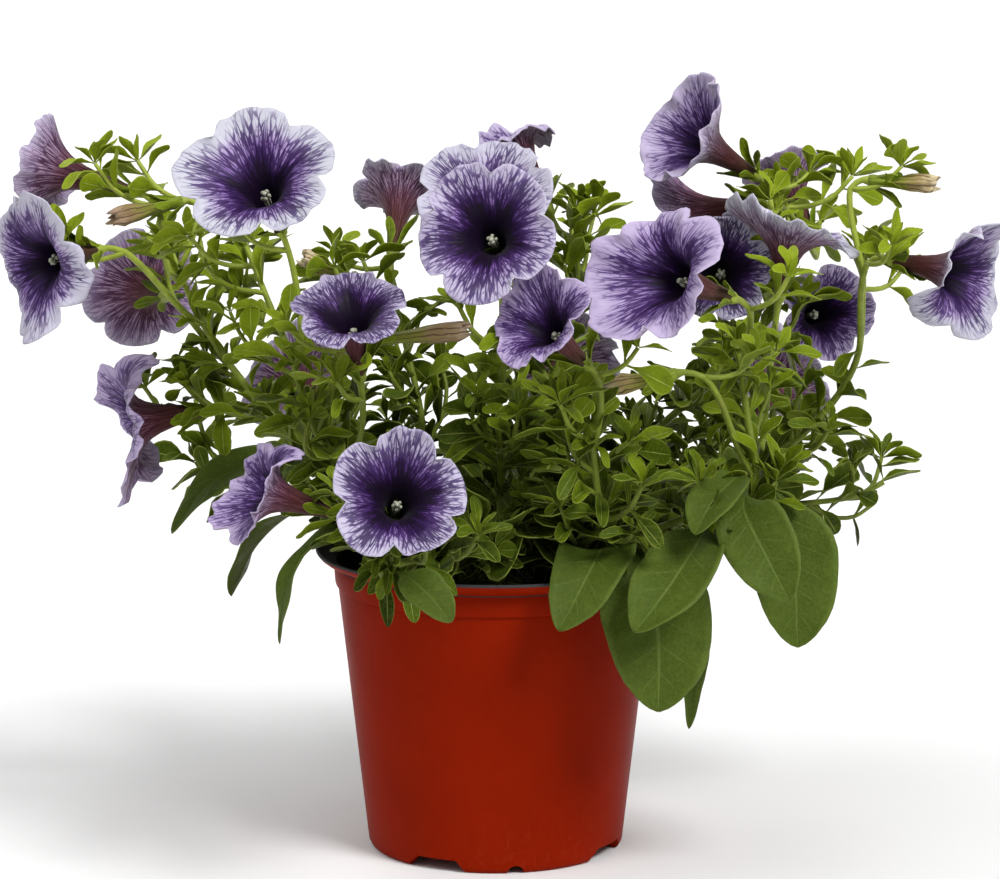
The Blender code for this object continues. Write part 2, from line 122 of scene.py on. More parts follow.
def tint(piece, name, values):
    # One number per point, for the materials to read.
    spots = piece.data.attributes.get(name) or piece.data.attributes.new(name, "FLOAT", "POINT")
    count = len(piece.data.vertices)
    numbers = np.full(count, values, np.float32) if np.isscalar(values) else np.asarray(values, np.float32)
    spots.data.foreach_set("value", numbers)


def hand_over(piece, slot, *nodes):
    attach(piece, "root")
    if nodes:
        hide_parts(*nodes)
    return piece


# %% [markdown]
# ## Reading the solid plant
# Every stem, stalk and flower in the solid model is a skin laid over rings of points. Walking
# from the first point outwards, one ring of neighbours at a time, gives back the centre and the
# radius of each ring. The new pieces are grown on those centres, so nothing has to be fitted by eye.


# %% Walk a solid node ring by ring
def rings_of(node, lowest_first=False):
    skin = bmesh.new()
    skin.from_mesh(NODES[node].data)
    bmesh.ops.remove_doubles(skin, verts=skin.verts[:], dist=2e-5)
    if lowest_first:
        seed = min(skin.verts, key=lambda v: v.co.z)
    else:
        seed = min(skin.verts, key=lambda v: max(e.calc_length() for e in v.link_edges))
    seen = {seed}
    ring = [seed]
    rings = []
    while ring:
        rings.append([v.co.copy() for v in ring])
        following = []
        for v in ring:
            for e in v.link_edges:
                other = e.other_vert(v)
                if other not in seen:
                    seen.add(other)
                    following.append(other)
        ring = following
    skin.free()
    return rings


def middle(points):
    return sum(points, Vector()) / len(points)


def smooth_route(points, step):
    # Catmull-Rom curve through the points, sampled about every step metres.
    padded = [points[0] * 2 - points[1]] + points + [points[-1] * 2 - points[-2]]
    route = []
    for a, b, c, d in zip(padded, padded[1:], padded[2:], padded[3:]):
        count = max(1, round((c - b).length / step))
        for k in range(count):
            t = k / count
            route.append(
                (
                    b * 2
                    + (c - a) * t
                    + (a * 2 - b * 5 + c * 4 - d) * t**2
                    + (b * 3 - a - c * 3 + d) * t**3
                ) / 2
            )
    route.append(points[-1].copy())
    return route


def names_of(start):
    return sorted(name for name in NODES if name.startswith(start))


print(
    len(names_of("flower")), "flowers,", len(names_of("stem")), "stems,", len(names_of("leaf")),
    "broad leaves",
)

# %% [markdown]
# ## Wiring a material by code
# A material is a small tree of nodes. Two short helpers keep the wiring readable: one adds a node
# and sets its values, the other makes a colour ramp from a list of stops.


# %% Node helpers
def add_node(tree, kind, values=None, **settings):
    made = tree.nodes.new(kind)
    for name, value in settings.items():
        setattr(made, name, value)
    for name, value in (values or {}).items():
        if isinstance(value, bpy.types.NodeSocket):
            tree.links.new(value, made.inputs[name])
        else:
            made.inputs[name].default_value = value
    return made


def calc(tree, operation, a, b=0.5, c=None, clamp=False):
    made = add_node(tree, "ShaderNodeMath", {0: a, 1: b}, operation=operation, use_clamp=clamp)
    if c is not None:
        if isinstance(c, bpy.types.NodeSocket):
            tree.links.new(c, made.inputs[2])
        else:
            made.inputs[2].default_value = c
    return made.outputs[0]


def band(tree, value, low, high, to_low=0.0, to_high=1.0, curve="SMOOTHSTEP"):
    made = add_node(
        tree,
        "ShaderNodeMapRange",
        {"Value": value, "From Min": low, "From Max": high, "To Min": to_low, "To Max": to_high},
        interpolation_type=curve,
    )
    return made.outputs["Result"]


def ramp(tree, value, stops):
    made = add_node(tree, "ShaderNodeValToRGB", {"Fac": value})
    made.color_ramp.interpolation = "EASE"
    while len(made.color_ramp.elements) < len(stops):
        made.color_ramp.elements.new(0.5)
    for element, (place, colour) in zip(made.color_ramp.elements, stops):
        element.position = place
        element.color = (*colour, 1.0)
    return made.outputs["Color"]


def blend_colours(tree, share, a, b, how="MIX"):
    made = tree.nodes.new("ShaderNodeMix")
    made.data_type = "RGBA"
    made.blend_type = how
    for socket, value in ((made.inputs[0], share), (made.inputs[6], a), (made.inputs[7], b)):
        if isinstance(value, bpy.types.NodeSocket):
            tree.links.new(value, socket)
        elif isinstance(value, tuple):
            socket.default_value = (*value, 1.0)
        else:
            socket.default_value = value
    return made.outputs[2]


def new_finish(name, **values):
    finish = bpy.data.materials.new(name)
    finish.use_nodes = True
    shader = finish.node_tree.nodes["Principled BSDF"]
    for socket, value in values.items():
        shader.inputs[socket.replace("_", " ")].default_value = value
    return finish, finish.node_tree, shader


def new_group(name, inputs, outputs):
    group = bpy.data.node_groups.new(name, "ShaderNodeTree")
    for label, kind, value in inputs:
        socket = group.interface.new_socket(label, in_out="INPUT", socket_type=kind)
        if value is not None:
            socket.default_value = value
    for label, kind in outputs:
        group.interface.new_socket(label, in_out="OUTPUT", socket_type=kind)
    return group, group.nodes.new("NodeGroupInput").outputs, group.nodes.new("NodeGroupOutput").inputs


def use_group(tree, group, values):
    made = tree.nodes.new("ShaderNodeGroup")
    made.node_tree = group
    for name, value in values.items():
        if isinstance(value, bpy.types.NodeSocket):
            tree.links.new(value, made.inputs[name])
        else:
            made.inputs[name].default_value = value
    return made.outputs


# %% [markdown]
# ## Mottle: the unevenness of a living or a moulded surface
# Nothing here is one flat colour. Leaves, stems, soil and even plastic vary a little from spot to
# spot. One node group gives a soft patchy mask at any scale, and each material picks its own size.


# %% Mottle group
mottle, g_in, g_out = new_group(
    "mottle",
    [("Size", "NodeSocketFloat", 100.0), ("Low", "NodeSocketFloat", 0.35), ("High", "NodeSocketFloat", 0.65)],
    [("Mask", "NodeSocketFloat")],
)
where = add_node(mottle, "ShaderNodeTexCoord").outputs["Object"]
cloud = add_node(
    mottle, "ShaderNodeTexNoise", {"Vector": where, "Scale": g_in["Size"], "Detail": 3.0, "Roughness": 0.6}
)
mottle.links.new(band(mottle, cloud.outputs["Fac"], g_in["Low"], g_in["High"]), g_out["Mask"])
print("group", mottle.name, "has", len(mottle.nodes), "nodes")

# %% [markdown]
# ## Petal veins
# A petunia's veins run out from the throat, fork, and join into a net near the edge. Edges between
# Voronoi cells make such a net. The cells are laid out around a circle that hardly grows from
# throat to edge, which stretches them along the petal, and a little noise makes the lines wander.


# %% Petal vein group
petal_veins, g_in, g_out = new_group(
    "petal_veins",
    [
        ("Turn", "NodeSocketFloat", 0.0),
        ("Reach", "NodeSocketFloat", 0.0),
        ("Around", "NodeSocketFloat", 6.0),
        ("Along", "NodeSocketFloat", 4.0),
        ("Width", "NodeSocketFloat", 0.1),
        ("Seed", "NodeSocketFloat", 0.0),
    ],
    [("Lines", "NodeSocketFloat"), ("Streak", "NodeSocketFloat")],
)
angle = calc(petal_veins, "MULTIPLY", g_in["Turn"], math.tau)
circle = calc(petal_veins, "ADD", calc(petal_veins, "MULTIPLY", g_in["Reach"], g_in["Along"]), g_in["Around"])
spot = add_node(
    petal_veins,
    "ShaderNodeCombineXYZ",
    {
        "X": calc(petal_veins, "MULTIPLY", calc(petal_veins, "COSINE", angle), circle),
        "Y": calc(petal_veins, "MULTIPLY", calc(petal_veins, "SINE", angle), circle),
        "Z": g_in["Seed"],
    },
).outputs[0]
wander = add_node(petal_veins, "ShaderNodeTexNoise", {"Vector": spot, "Scale": 0.8, "Detail": 1.5})
shifted = add_node(
    petal_veins,
    "ShaderNodeVectorMath",
    {0: wander.outputs["Color"], 1: (0.5, 0.5, 0.5)},
    operation="SUBTRACT",
)
scaled = add_node(
    petal_veins, "ShaderNodeVectorMath", {0: shifted.outputs[0], "Scale": 0.9}, operation="SCALE"
)
placed = add_node(petal_veins, "ShaderNodeVectorMath", {0: spot, 1: scaled.outputs[0]}, operation="ADD")
net = add_node(
    petal_veins,
    "ShaderNodeTexVoronoi",
    {"Vector": placed.outputs[0], "Scale": 1.0},
    feature="DISTANCE_TO_EDGE",
)
share = calc(petal_veins, "DIVIDE", net.outputs["Distance"], g_in["Width"])
petal_veins.links.new(band(petal_veins, share, 1.0, 0.45), g_out["Lines"])
streak = add_node(
    petal_veins, "ShaderNodeTexNoise", {"Vector": placed.outputs[0], "Scale": 0.9, "Detail": 1.0}
)
petal_veins.links.new(streak.outputs["Fac"], g_out["Streak"])
print("group", petal_veins.name, "has", len(petal_veins.nodes), "nodes")

# %% [markdown]
# ## The face of a petal
# The throat is almost black, the middle is violet, and the edge pales to lilac or white, with the
# dark net of veins laid over all of it. Each flower carries two numbers of its own, deep and pale,
# so that no two flowers match. The petal UV map holds the turn around the flower and the way out
# from the calyx to the edge, and the face uses the outer part of that way.


# %% Petal face material
def petal_place(tree):
    uv = add_node(tree, "ShaderNodeUVMap", uv_map="petal").outputs[0]
    parts = add_node(tree, "ShaderNodeSeparateXYZ", {0: uv}).outputs
    return parts["X"], parts["Y"]


def own_number(tree, name):
    return add_node(tree, "ShaderNodeAttribute", attribute_name=name).outputs["Fac"]


def soft_noise(tree, scale, detail=2.0):
    where = add_node(tree, "ShaderNodeTexCoord").outputs["Object"]
    return add_node(
        tree, "ShaderNodeTexNoise", {"Vector": where, "Scale": scale, "Detail": detail}
    ).outputs["Fac"]


petal_face, tree, shader = new_finish(
    "petal_face", Roughness=0.5, Specular_IOR_Level=0.12, Sheen_Weight=0.04, Sheen_Roughness=0.4
)
turn, way = petal_place(tree)
deep = own_number(tree, "deep")
pale = own_number(tree, "pale")
seed = calc(tree, "MULTIPLY", own_number(tree, "kind"), 7.0)
out = band(tree, way, 0.3, 1.0, curve="LINEAR")
wave = soft_noise(tree, 140.0)
lobe = calc(
    tree, "ABSOLUTE", calc(tree, "SUBTRACT", calc(tree, "FRACT", calc(tree, "MULTIPLY", turn, 5.0)), 0.5)
)
# Dark colour runs further out along the middle of a lobe than at the notches.
comb = use_group(
    tree, petal_veins, {"Turn": turn, "Reach": out, "Around": 9.0, "Along": 2.0, "Seed": seed, "Width": 0.1}
)["Streak"]
level = calc(tree, "MULTIPLY_ADD", lobe, 0.4, calc(tree, "SUBTRACT", out, 0.08))
level = calc(tree, "SUBTRACT", level, calc(tree, "MULTIPLY", deep, 0.26))
level = calc(tree, "ADD", level, calc(tree, "MULTIPLY_ADD", wave, 0.24, -0.12))
level = calc(tree, "ADD", level, calc(tree, "MULTIPLY_ADD", comb, 0.4, -0.2))
ground = ramp(
    tree,
    level,
    [
        (0.0, (0.006, 0.0015, 0.009)),
        (0.2, (0.013, 0.004, 0.022)),
        (0.33, (0.06, 0.02, 0.125)),
        (0.46, (0.2, 0.115, 0.33)),
        (0.6, (0.33, 0.235, 0.46)),
        (0.82, (0.42, 0.33, 0.53)),
        (1.0, (0.47, 0.38, 0.57)),
    ],
)
white = calc(
    tree, "MULTIPLY", band(tree, calc(tree, "MULTIPLY_ADD", wave, 0.16, out), 0.62, 0.92), pale, clamp=True
)
ground = blend_colours(tree, white, ground, (0.5, 0.5, 0.57))
fade = band(tree, level, 0.2, 0.95, 1.0, 0.0, "LINEAR")
broad_width = calc(tree, "MULTIPLY_ADD", fade, 0.24, 0.07)
broad = use_group(
    tree,
    petal_veins,
    {"Turn": turn, "Reach": out, "Around": 13.0, "Along": 3.6, "Seed": seed, "Width": broad_width},
)["Lines"]
fine_width = calc(tree, "MULTIPLY_ADD", fade, 0.14, 0.06)
fine = use_group(
    tree,
    petal_veins,
    {"Turn": turn, "Reach": out, "Around": 10.5, "Along": 9.0, "Seed": seed, "Width": fine_width},
)["Lines"]
fine = calc(tree, "MULTIPLY", fine, band(tree, level, 0.8, 0.45, 0.12, 0.85))
rib = calc(tree, "MULTIPLY", band(tree, lobe, 0.035, 0.0), band(tree, out, 0.95, 0.6))
net = calc(tree, "MAXIMUM", calc(tree, "MAXIMUM", broad, fine), rib)
net = calc(tree, "MULTIPLY", net, band(tree, level, 1.0, 0.62, 0.1, 1.0))
vein_colour = ramp(
    tree,
    level,
    [
        (0.2, (0.006, 0.0015, 0.012)), (0.5, (0.02, 0.004, 0.055)), (0.75, (0.045, 0.012, 0.12)),
        (1.0, (0.11, 0.05, 0.22)),
    ],
)
tree.links.new(
    blend_colours(tree, calc(tree, "MULTIPLY", net, 0.9), ground, vein_colour), shader.inputs["Base Color"]
)
relief = add_node(
    tree,
    "ShaderNodeBump",
    {
        "Height": calc(tree, "SUBTRACT", wave, calc(tree, "MULTIPLY", net, 0.4)),
        "Strength": 0.35,
        "Distance": 0.0006,
    },
)
tree.links.new(relief.outputs[0], shader.inputs["Normal"])
print("petal face", len(tree.nodes), "nodes")

# %% [markdown]
# ## The back of a petal
# Seen from outside the flower is duller: a brown-maroon tube that opens into pink-lilac, with
# maroon lines that run along the tube and fan out over the back of the lobes.

# %% Petal back material
petal_back, tree, shader = new_finish(
    "petal_back", Roughness=0.55, Specular_IOR_Level=0.15, Sheen_Weight=0.08, Sheen_Roughness=0.45
)
turn, way = petal_place(tree)
deep = own_number(tree, "deep")
pale = own_number(tree, "pale")
seed = calc(tree, "MULTIPLY", own_number(tree, "kind"), 7.0)
wave = soft_noise(tree, 120.0)
along = calc(tree, "ADD", way, calc(tree, "MULTIPLY_ADD", wave, 0.2, -0.1))
skin = ramp(
    tree,
    along,
    [
        (0.0, (0.09, 0.085, 0.015)),
        (0.12, (0.11, 0.05, 0.022)),
        (0.34, (0.12, 0.035, 0.03)),
        (0.5, (0.22, 0.09, 0.13)),
        (0.66, (0.38, 0.25, 0.38)),
        (0.86, (0.45, 0.34, 0.5)),
        (1.0, (0.5, 0.42, 0.57)),
    ],
)
skin = blend_colours(
    tree, calc(tree, "MULTIPLY", band(tree, way, 0.78, 0.98), pale, clamp=True), skin, (0.6, 0.59, 0.68)
)
skin = blend_colours(
    tree, calc(tree, "MULTIPLY", deep, band(tree, way, 0.5, 0.85, 0.1, 0.5)), skin, (0.12, 0.05, 0.2)
)
thin = band(tree, way, 0.3, 1.0, 0.24, 0.1, "LINEAR")
lines = use_group(
    tree,
    petal_veins,
    {"Turn": turn, "Reach": way, "Around": 11.5, "Along": 3.0, "Seed": seed, "Width": thin},
)["Lines"]
fine = use_group(
    tree,
    petal_veins,
    {
        "Turn": turn,
        "Reach": way,
        "Around": 10.0,
        "Along": 8.0,
        "Seed": seed,
        "Width": calc(tree, "MULTIPLY", thin, 0.6),
    },
)["Lines"]
lobe = calc(
    tree, "ABSOLUTE", calc(tree, "SUBTRACT", calc(tree, "FRACT", calc(tree, "MULTIPLY", turn, 5.0)), 0.5)
)
rib = calc(tree, "MULTIPLY", band(tree, lobe, 0.04, 0.0), band(tree, way, 1.0, 0.7))
lines = calc(tree, "MAXIMUM", calc(tree, "MAXIMUM", lines, calc(tree, "MULTIPLY", fine, 0.7)), rib)
lines = calc(tree, "MULTIPLY", lines, band(tree, way, 1.05, 0.7, 0.3, 0.95))
vein_colour = ramp(
    tree,
    way,
    [
        (0.0, (0.05, 0.03, 0.01)), (0.35, (0.05, 0.009, 0.012)), (0.7, (0.05, 0.01, 0.04)),
        (1.0, (0.08, 0.035, 0.15)),
    ],
)
tree.links.new(blend_colours(tree, lines, skin, vein_colour), shader.inputs["Base Color"])
relief = add_node(
    tree, "ShaderNodeBump", {"Height": calc(tree, "ADD", lines, wave), "Strength": 0.45, "Distance": 0.0005}
)
tree.links.new(relief.outputs[0], shader.inputs["Normal"])
print("petal back", len(tree.nodes), "nodes")

# %% [markdown]
# ## Leaf skin
# A petunia leaf is soft and finely hairy. The midrib and the side veins are paler than the blade.
# The leaf UV map runs across the blade in X and from stalk to tip in Y, so the side veins are
# slanted stripes that lean towards the tip. A number per point brightens leaves high up and at the
# outside and darkens those in the crown: young growth is a little paler, but mostly this is
# painted light and painted shade.

# %% Leaf materials
def leaf_finish(name, greens, vein_and_rim_light_green, vein_and_rim_light_share, ribbed=True):
    finish, tree, shader = new_finish(name, Specular_IOR_Level=0.08, Sheen_Weight=0.03, Sheen_Roughness=0.35)
    shader.inputs["Sheen Tint"].default_value = (0.9, 1.0, 0.6, 1.0)
    parts = add_node(
        tree, "ShaderNodeSeparateXYZ", {0: add_node(tree, "ShaderNodeUVMap", uv_map="leaf").outputs[0]}
    ).outputs
    side = calc(tree, "ABSOLUTE", calc(tree, "MULTIPLY_ADD", parts["X"], 2.0, -1.0))
    # This number holds painted light and painted shade as well as the leaf's own tone.
    tone_and_painted_light = own_number(tree, "tone_and_painted_light")
    ribs = own_number(tree, "ribs")
    patch = use_group(tree, mottle, {"Size": 160.0, "Low": 0.3, "High": 0.7})["Mask"]
    speck = use_group(tree, mottle, {"Size": 900.0, "Low": 0.35, "High": 0.7})["Mask"]
    green_level_with_painted_light = calc(tree, "MULTIPLY_ADD", patch, 0.16, calc(tree, "SUBTRACT", tone_and_painted_light, 0.08))
    # Painted shade: the blade is painted darker near the midrib and lighter towards its edges.
    green_level_with_painted_light = calc(tree, "ADD", green_level_with_painted_light, calc(tree, "MULTIPLY_ADD", band(tree, side, 0.15, 0.85), 0.1, -0.08))
    green = ramp(tree, green_level_with_painted_light, greens)
    # Side veins: slanted stripes that lean to the tip and fade before the edge.
    slant = calc(
        tree,
        "MULTIPLY",
        calc(tree, "SUBTRACT", parts["Y"], calc(tree, "MULTIPLY", calc(tree, "POWER", side, 0.8), 0.16)),
        ribs,
    )
    stripe = calc(tree, "ABSOLUTE", calc(tree, "SUBTRACT", calc(tree, "FRACT", slant), 0.5))
    side_veins = calc(tree, "MULTIPLY", band(tree, stripe, 0.07, 0.0), band(tree, side, 0.95, 0.3))
    midrib = band(tree, side, calc(tree, "MULTIPLY_ADD", parts["Y"], -0.05, 0.09), 0.015)
    veins = calc(tree, "MAXIMUM", midrib, calc(tree, "MULTIPLY", side_veins, 0.5 if ribbed else 0.15))
    # Paler rim: a painted highlight, as of the fine hairs on the edge catching the light.
    edge = calc(tree, "MULTIPLY", band(tree, side, 0.84, 1.0), 0.65)
    marks = calc(tree, "MULTIPLY", calc(tree, "MAXIMUM", veins, edge), vein_and_rim_light_share)
    skin = blend_colours(tree, marks, green, blend_colours(tree, 0.6, green, vein_and_rim_light_green))
    skin = blend_colours(tree, calc(tree, "MULTIPLY", speck, 0.1), skin, (0.24, 0.3, 0.04))
    tree.links.new(skin, shader.inputs["Base Color"])
    tree.links.new(band(tree, patch, 0.0, 1.0, 0.4, 0.58), shader.inputs["Roughness"])
    quilt = calc(tree, "MULTIPLY_ADD", veins, -0.8, calc(tree, "MULTIPLY", speck, 0.35))
    relief = add_node(tree, "ShaderNodeBump", {"Height": quilt, "Strength": 0.5, "Distance": 0.0006})
    tree.links.new(relief.outputs[0], shader.inputs["Normal"])
    print(name, len(tree.nodes), "nodes")
    return finish


SMALL_GREENS = [
    (0.0, (0.016, 0.028, 0.001)), (0.35, (0.055, 0.088, 0.002)), (0.65, (0.135, 0.19, 0.004)),
    (1.0, (0.23, 0.3, 0.01)),
]
BROAD_GREENS = [
    (0.0, (0.03, 0.05, 0.004)), (0.35, (0.055, 0.085, 0.01)), (0.65, (0.09, 0.13, 0.018)),
    (1.0, (0.14, 0.19, 0.035)),
]
leaf_skin = leaf_finish("leaf_skin", SMALL_GREENS, (0.5, 0.56, 0.13), 0.8, False)
broad_leaf_skin = leaf_finish("broad_leaf_skin", BROAD_GREENS, (0.22, 0.3, 0.07), 0.4)

# %% [markdown]
# ## Stem, calyx and bud skins
# Stems are yellow-green and a little translucent, with faint lengthwise unevenness. Buds and
# spent flowers start green at the calyx and turn maroon, brown or cream towards the tip.

# %% Stem, stamen and bud materials
stem_skin, tree, shader = new_finish(
    "stem_skin", Roughness=0.48, Specular_IOR_Level=0.25, Sheen_Weight=0.3, Sheen_Roughness=0.3
)
shader.inputs["Sheen Tint"].default_value = (0.9, 1.0, 0.6, 1.0)
# Stems too are painted brighter high up and darker in the crown: painted light and shade.
tone_and_painted_light = own_number(tree, "tone_and_painted_light")
patch = use_group(tree, mottle, {"Size": 220.0, "Low": 0.3, "High": 0.7})["Mask"]
blush = use_group(tree, mottle, {"Size": 60.0, "Low": 0.55, "High": 0.75})["Mask"]
green = ramp(
    tree,
    calc(tree, "MULTIPLY_ADD", patch, 0.2, calc(tree, "SUBTRACT", tone_and_painted_light, 0.1)),
    [(0.0, (0.035, 0.05, 0.006)), (0.5, (0.16, 0.21, 0.018)), (1.0, (0.33, 0.4, 0.05))],
)
green = blend_colours(tree, calc(tree, "MULTIPLY", blush, 0.3), green, (0.16, 0.08, 0.03))
tree.links.new(green, shader.inputs["Base Color"])
relief = add_node(tree, "ShaderNodeBump", {"Height": patch, "Strength": 0.3, "Distance": 0.0004})
tree.links.new(relief.outputs[0], shader.inputs["Normal"])

stamen_skin, tree, shader = new_finish("stamen_skin", Roughness=0.6)
patch = use_group(tree, mottle, {"Size": 900.0, "Low": 0.4, "High": 0.6})["Mask"]
tree.links.new(
    blend_colours(tree, patch, (0.22, 0.24, 0.16), (0.45, 0.44, 0.36)), shader.inputs["Base Color"]
)

bud_skin, tree, shader = new_finish(
    "bud_skin", Roughness=0.6, Specular_IOR_Level=0.2, Sheen_Weight=0.15, Sheen_Roughness=0.4
)
turn, way = petal_place(tree)
wither = own_number(tree, "wither")
wave = soft_noise(tree, 260.0, 3.0)
along = calc(tree, "ADD", way, calc(tree, "MULTIPLY_ADD", wave, 0.6, -0.4))
fresh = ramp(
    tree,
    along,
    [
        (0.0, (0.15, 0.2, 0.015)), (0.4, (0.17, 0.17, 0.03)), (0.7, (0.19, 0.11, 0.06)),
        (1.0, (0.34, 0.19, 0.14)),
    ],
)
spent = ramp(
    tree,
    along,
    [
        (0.0, (0.2, 0.27, 0.02)), (0.35, (0.28, 0.29, 0.04)), (0.62, (0.4, 0.3, 0.12)),
        (1.0, (0.72, 0.62, 0.4)),
    ],
)
skin = blend_colours(tree, wither, fresh, spent)
stripe = calc(
    tree,
    "ABSOLUTE",
    calc(
        tree,
        "SUBTRACT",
        calc(tree, "FRACT", calc(tree, "MULTIPLY_ADD", turn, 10.0, calc(tree, "MULTIPLY", wave, 0.9))),
        0.5,
    ),
)
stripes = calc(tree, "MULTIPLY", band(tree, stripe, 0.14, 0.02), band(tree, way, 0.1, 0.6, 0.35, 0.85))
tree.links.new(blend_colours(tree, stripes, skin, (0.075, 0.02, 0.018)), shader.inputs["Base Color"])
relief = add_node(
    tree,
    "ShaderNodeBump",
    {"Height": calc(tree, "ADD", stripes, wave), "Strength": 0.6, "Distance": 0.0005},
)
tree.links.new(relief.outputs[0], shader.inputs["Normal"])
print("plant materials", [m.name for m in bpy.data.materials if m.name.endswith("skin")])

# %% [markdown]
# ## Pot plastics
# The pot is moulded in two colours: red-brown outside, dark grey inside and on the edge of the
# lip. The outside has a satin shine, with fine scuffs that are rougher and a touch paler, and a
# wall so thin that it is never quite flat. Scuffs gather near the foot.


# %% Pot materials
def pot_plastic(name, colour, scuffed, roughness):
    finish, tree, shader = new_finish(name, Specular_IOR_Level=0.025)
    where = add_node(tree, "ShaderNodeTexCoord").outputs["Object"]
    height = add_node(tree, "ShaderNodeSeparateXYZ", {0: where}).outputs["Z"]
    broad = use_group(tree, mottle, {"Size": 28.0, "Low": 0.3, "High": 0.75})["Mask"]
    dust = use_group(tree, mottle, {"Size": 420.0, "Low": 0.52, "High": 0.75})["Mask"]
    streak = add_node(tree, "ShaderNodeMapping", {"Vector": where, "Scale": (900.0, 900.0, 60.0)}).outputs[0]
    scratch = add_node(
        tree, "ShaderNodeTexNoise", {"Vector": streak, "Scale": 1.0, "Detail": 2.0}
    ).outputs["Fac"]
    rub = calc(tree, "MULTIPLY", band(tree, scratch, 0.64, 0.74), band(tree, height, 0.04, 0.0, 0.1, 0.5))
    worn = calc(
        tree,
        "MAXIMUM",
        rub,
        calc(tree, "MULTIPLY", dust, band(tree, height, 0.03, 0.0, 0.1, 0.45)),
        clamp=True,
    )
    plain = blend_colours(tree, broad, colour, tuple(v * 0.88 for v in colour))
    tree.links.new(
        blend_colours(tree, calc(tree, "MULTIPLY", worn, 0.3), plain, scuffed), shader.inputs["Base Color"]
    )
    rough = calc(
        tree,
        "ADD",
        band(tree, broad, 0.0, 1.0, roughness, roughness + 0.07),
        calc(tree, "MULTIPLY", worn, 0.25),
    )
    tree.links.new(rough, shader.inputs["Roughness"])
    skin = add_node(
        tree, "ShaderNodeTexNoise", {"Vector": where, "Scale": 1400.0, "Detail": 1.0}
    ).outputs["Fac"]
    wall = add_node(
        tree, "ShaderNodeTexNoise", {"Vector": where, "Scale": 16.0, "Detail": 0.0}
    ).outputs["Fac"]
    slow = add_node(tree, "ShaderNodeBump", {"Height": wall, "Strength": 0.25, "Distance": 0.004})
    fast = add_node(
        tree,
        "ShaderNodeBump",
        {"Height": skin, "Strength": 0.12, "Distance": 0.0003, "Normal": slow.outputs[0]},
    )
    tree.links.new(fast.outputs[0], shader.inputs["Normal"])
    return finish


pot_red = pot_plastic("pot_red_plastic", (0.24, 0.0105, 0.0003), (0.34, 0.06, 0.025), 0.38)
pot_grey = pot_plastic("pot_grey_plastic", (0.05, 0.048, 0.052), (0.2, 0.19, 0.19), 0.42)
print("pot plastics", pot_red.name, pot_grey.name)

# %% [markdown]
# ## Soil finish
# Potting mix is peat and bark: nearly black when damp, with lighter fibres and bits.

# %% Soil material
soil_mix, tree, shader = new_finish("soil_mix", Roughness=0.95)
grain = use_group(tree, mottle, {"Size": 380.0, "Low": 0.35, "High": 0.7})["Mask"]
fibre = use_group(tree, mottle, {"Size": 1500.0, "Low": 0.55, "High": 0.7})["Mask"]
brown = blend_colours(tree, grain, (0.008, 0.005, 0.0035), (0.04, 0.024, 0.014))
tree.links.new(
    blend_colours(tree, calc(tree, "MULTIPLY", fibre, 0.5), brown, (0.12, 0.075, 0.04)),
    shader.inputs["Base Color"],
)
relief = add_node(tree, "ShaderNodeBump", {"Height": grain, "Strength": 0.9, "Distance": 0.002})
tree.links.new(relief.outputs[0], shader.inputs["Normal"])
print("soil mix", len(tree.nodes), "nodes")

# %% [markdown]
# ## The pot
# A nursery pot is a turned shape, so its section is drawn point by point and spun around the
# axis. The section starts at the middle of the floor, climbs the inside of the wall, rolls over
# the thin flared lip, and comes down the outside past the collar and its two grooves to the feet.


# %% Spin a section into a turned shape
def spin_section(name, section, steps):
    # section: (radius, height) in metres, from axis to axis.
    clear_selection()
    r, z = section[0]
    bpy.ops.mesh.primitive_plane_add(size=0.001, location=(r, 0.0, z))
    piece = bpy.context.object
    piece.name = name
    bpy.ops.object.mode_set(mode="EDIT")
    bpy.ops.mesh.select_all(action="SELECT")
    bpy.ops.mesh.merge(type="CENTER")
    for (r0, z0), (r1, z1) in zip(section, section[1:]):
        bpy.ops.mesh.extrude_vertices_move(TRANSFORM_OT_translate={"value": (r1 - r0, 0.0, z1 - z0)})
    bpy.ops.mesh.select_all(action="SELECT")
    bpy.ops.mesh.spin(steps=steps, angle=math.tau, center=(0.0, 0.0, 0.0), axis=(0.0, 0.0, 1.0))
    bpy.ops.object.mode_set(mode="OBJECT")
    settle(piece)
    tidy_skin(piece)
    return piece


pot_low, pot_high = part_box("pot_shell")
LIP = pot_high.x
TOP = pot_high.z
WALL = 1.2 * MM
slope = (56.9 - 45.9) * MM / (96.2 * MM)


def cone(height):
    return 45.9 * MM + slope * height


inside = [(0.0, 7.4), (20.0, 7.4), (41.0, 7.4), (42.6, 7.8), (43.9, 8.8), (44.8, 11.0)]
inside = [(r * MM, z * MM) for r, z in inside]
inside += [(cone(h * MM) - WALL, h * MM) for h in (30, 50, 70, 96)]
inside += [
    (r * MM, z * MM)
    for r, z in (
        (56.4, 97.0), (57.0, 104.6), (57.6, 105.7), (59.4, 106.6), (61.6, 107.6), (63.2, 108.9),
        (63.7, 109.7),
    )
]
edge = [
    (LIP - 0.9 * MM, TOP - 0.05 * MM), (LIP - 0.5 * MM, TOP), (LIP - 0.15 * MM, TOP - 0.15 * MM),
    (LIP, TOP - 0.5 * MM),
]
outside = [
    (64.9, 109.0), (64.6, 108.5), (63.9, 107.7), (62.6, 106.7), (61.0, 106.0), (59.6, 105.5), (58.6, 105.2),
    (58.2, 104.9), (58.1, 104.5), (58.3, 104.1),
]
outside += [(58.2, 100.5), (57.95, 97.6), (57.7, 96.9), (57.0, 96.6), (56.65, 96.3), (56.7, 95.9)]
outside = [(r * MM, z * MM) for r, z in outside]
outside += [(cone(h * MM), h * MM) for h in (94, 80, 60, 40, 20, 6, 2.2)]
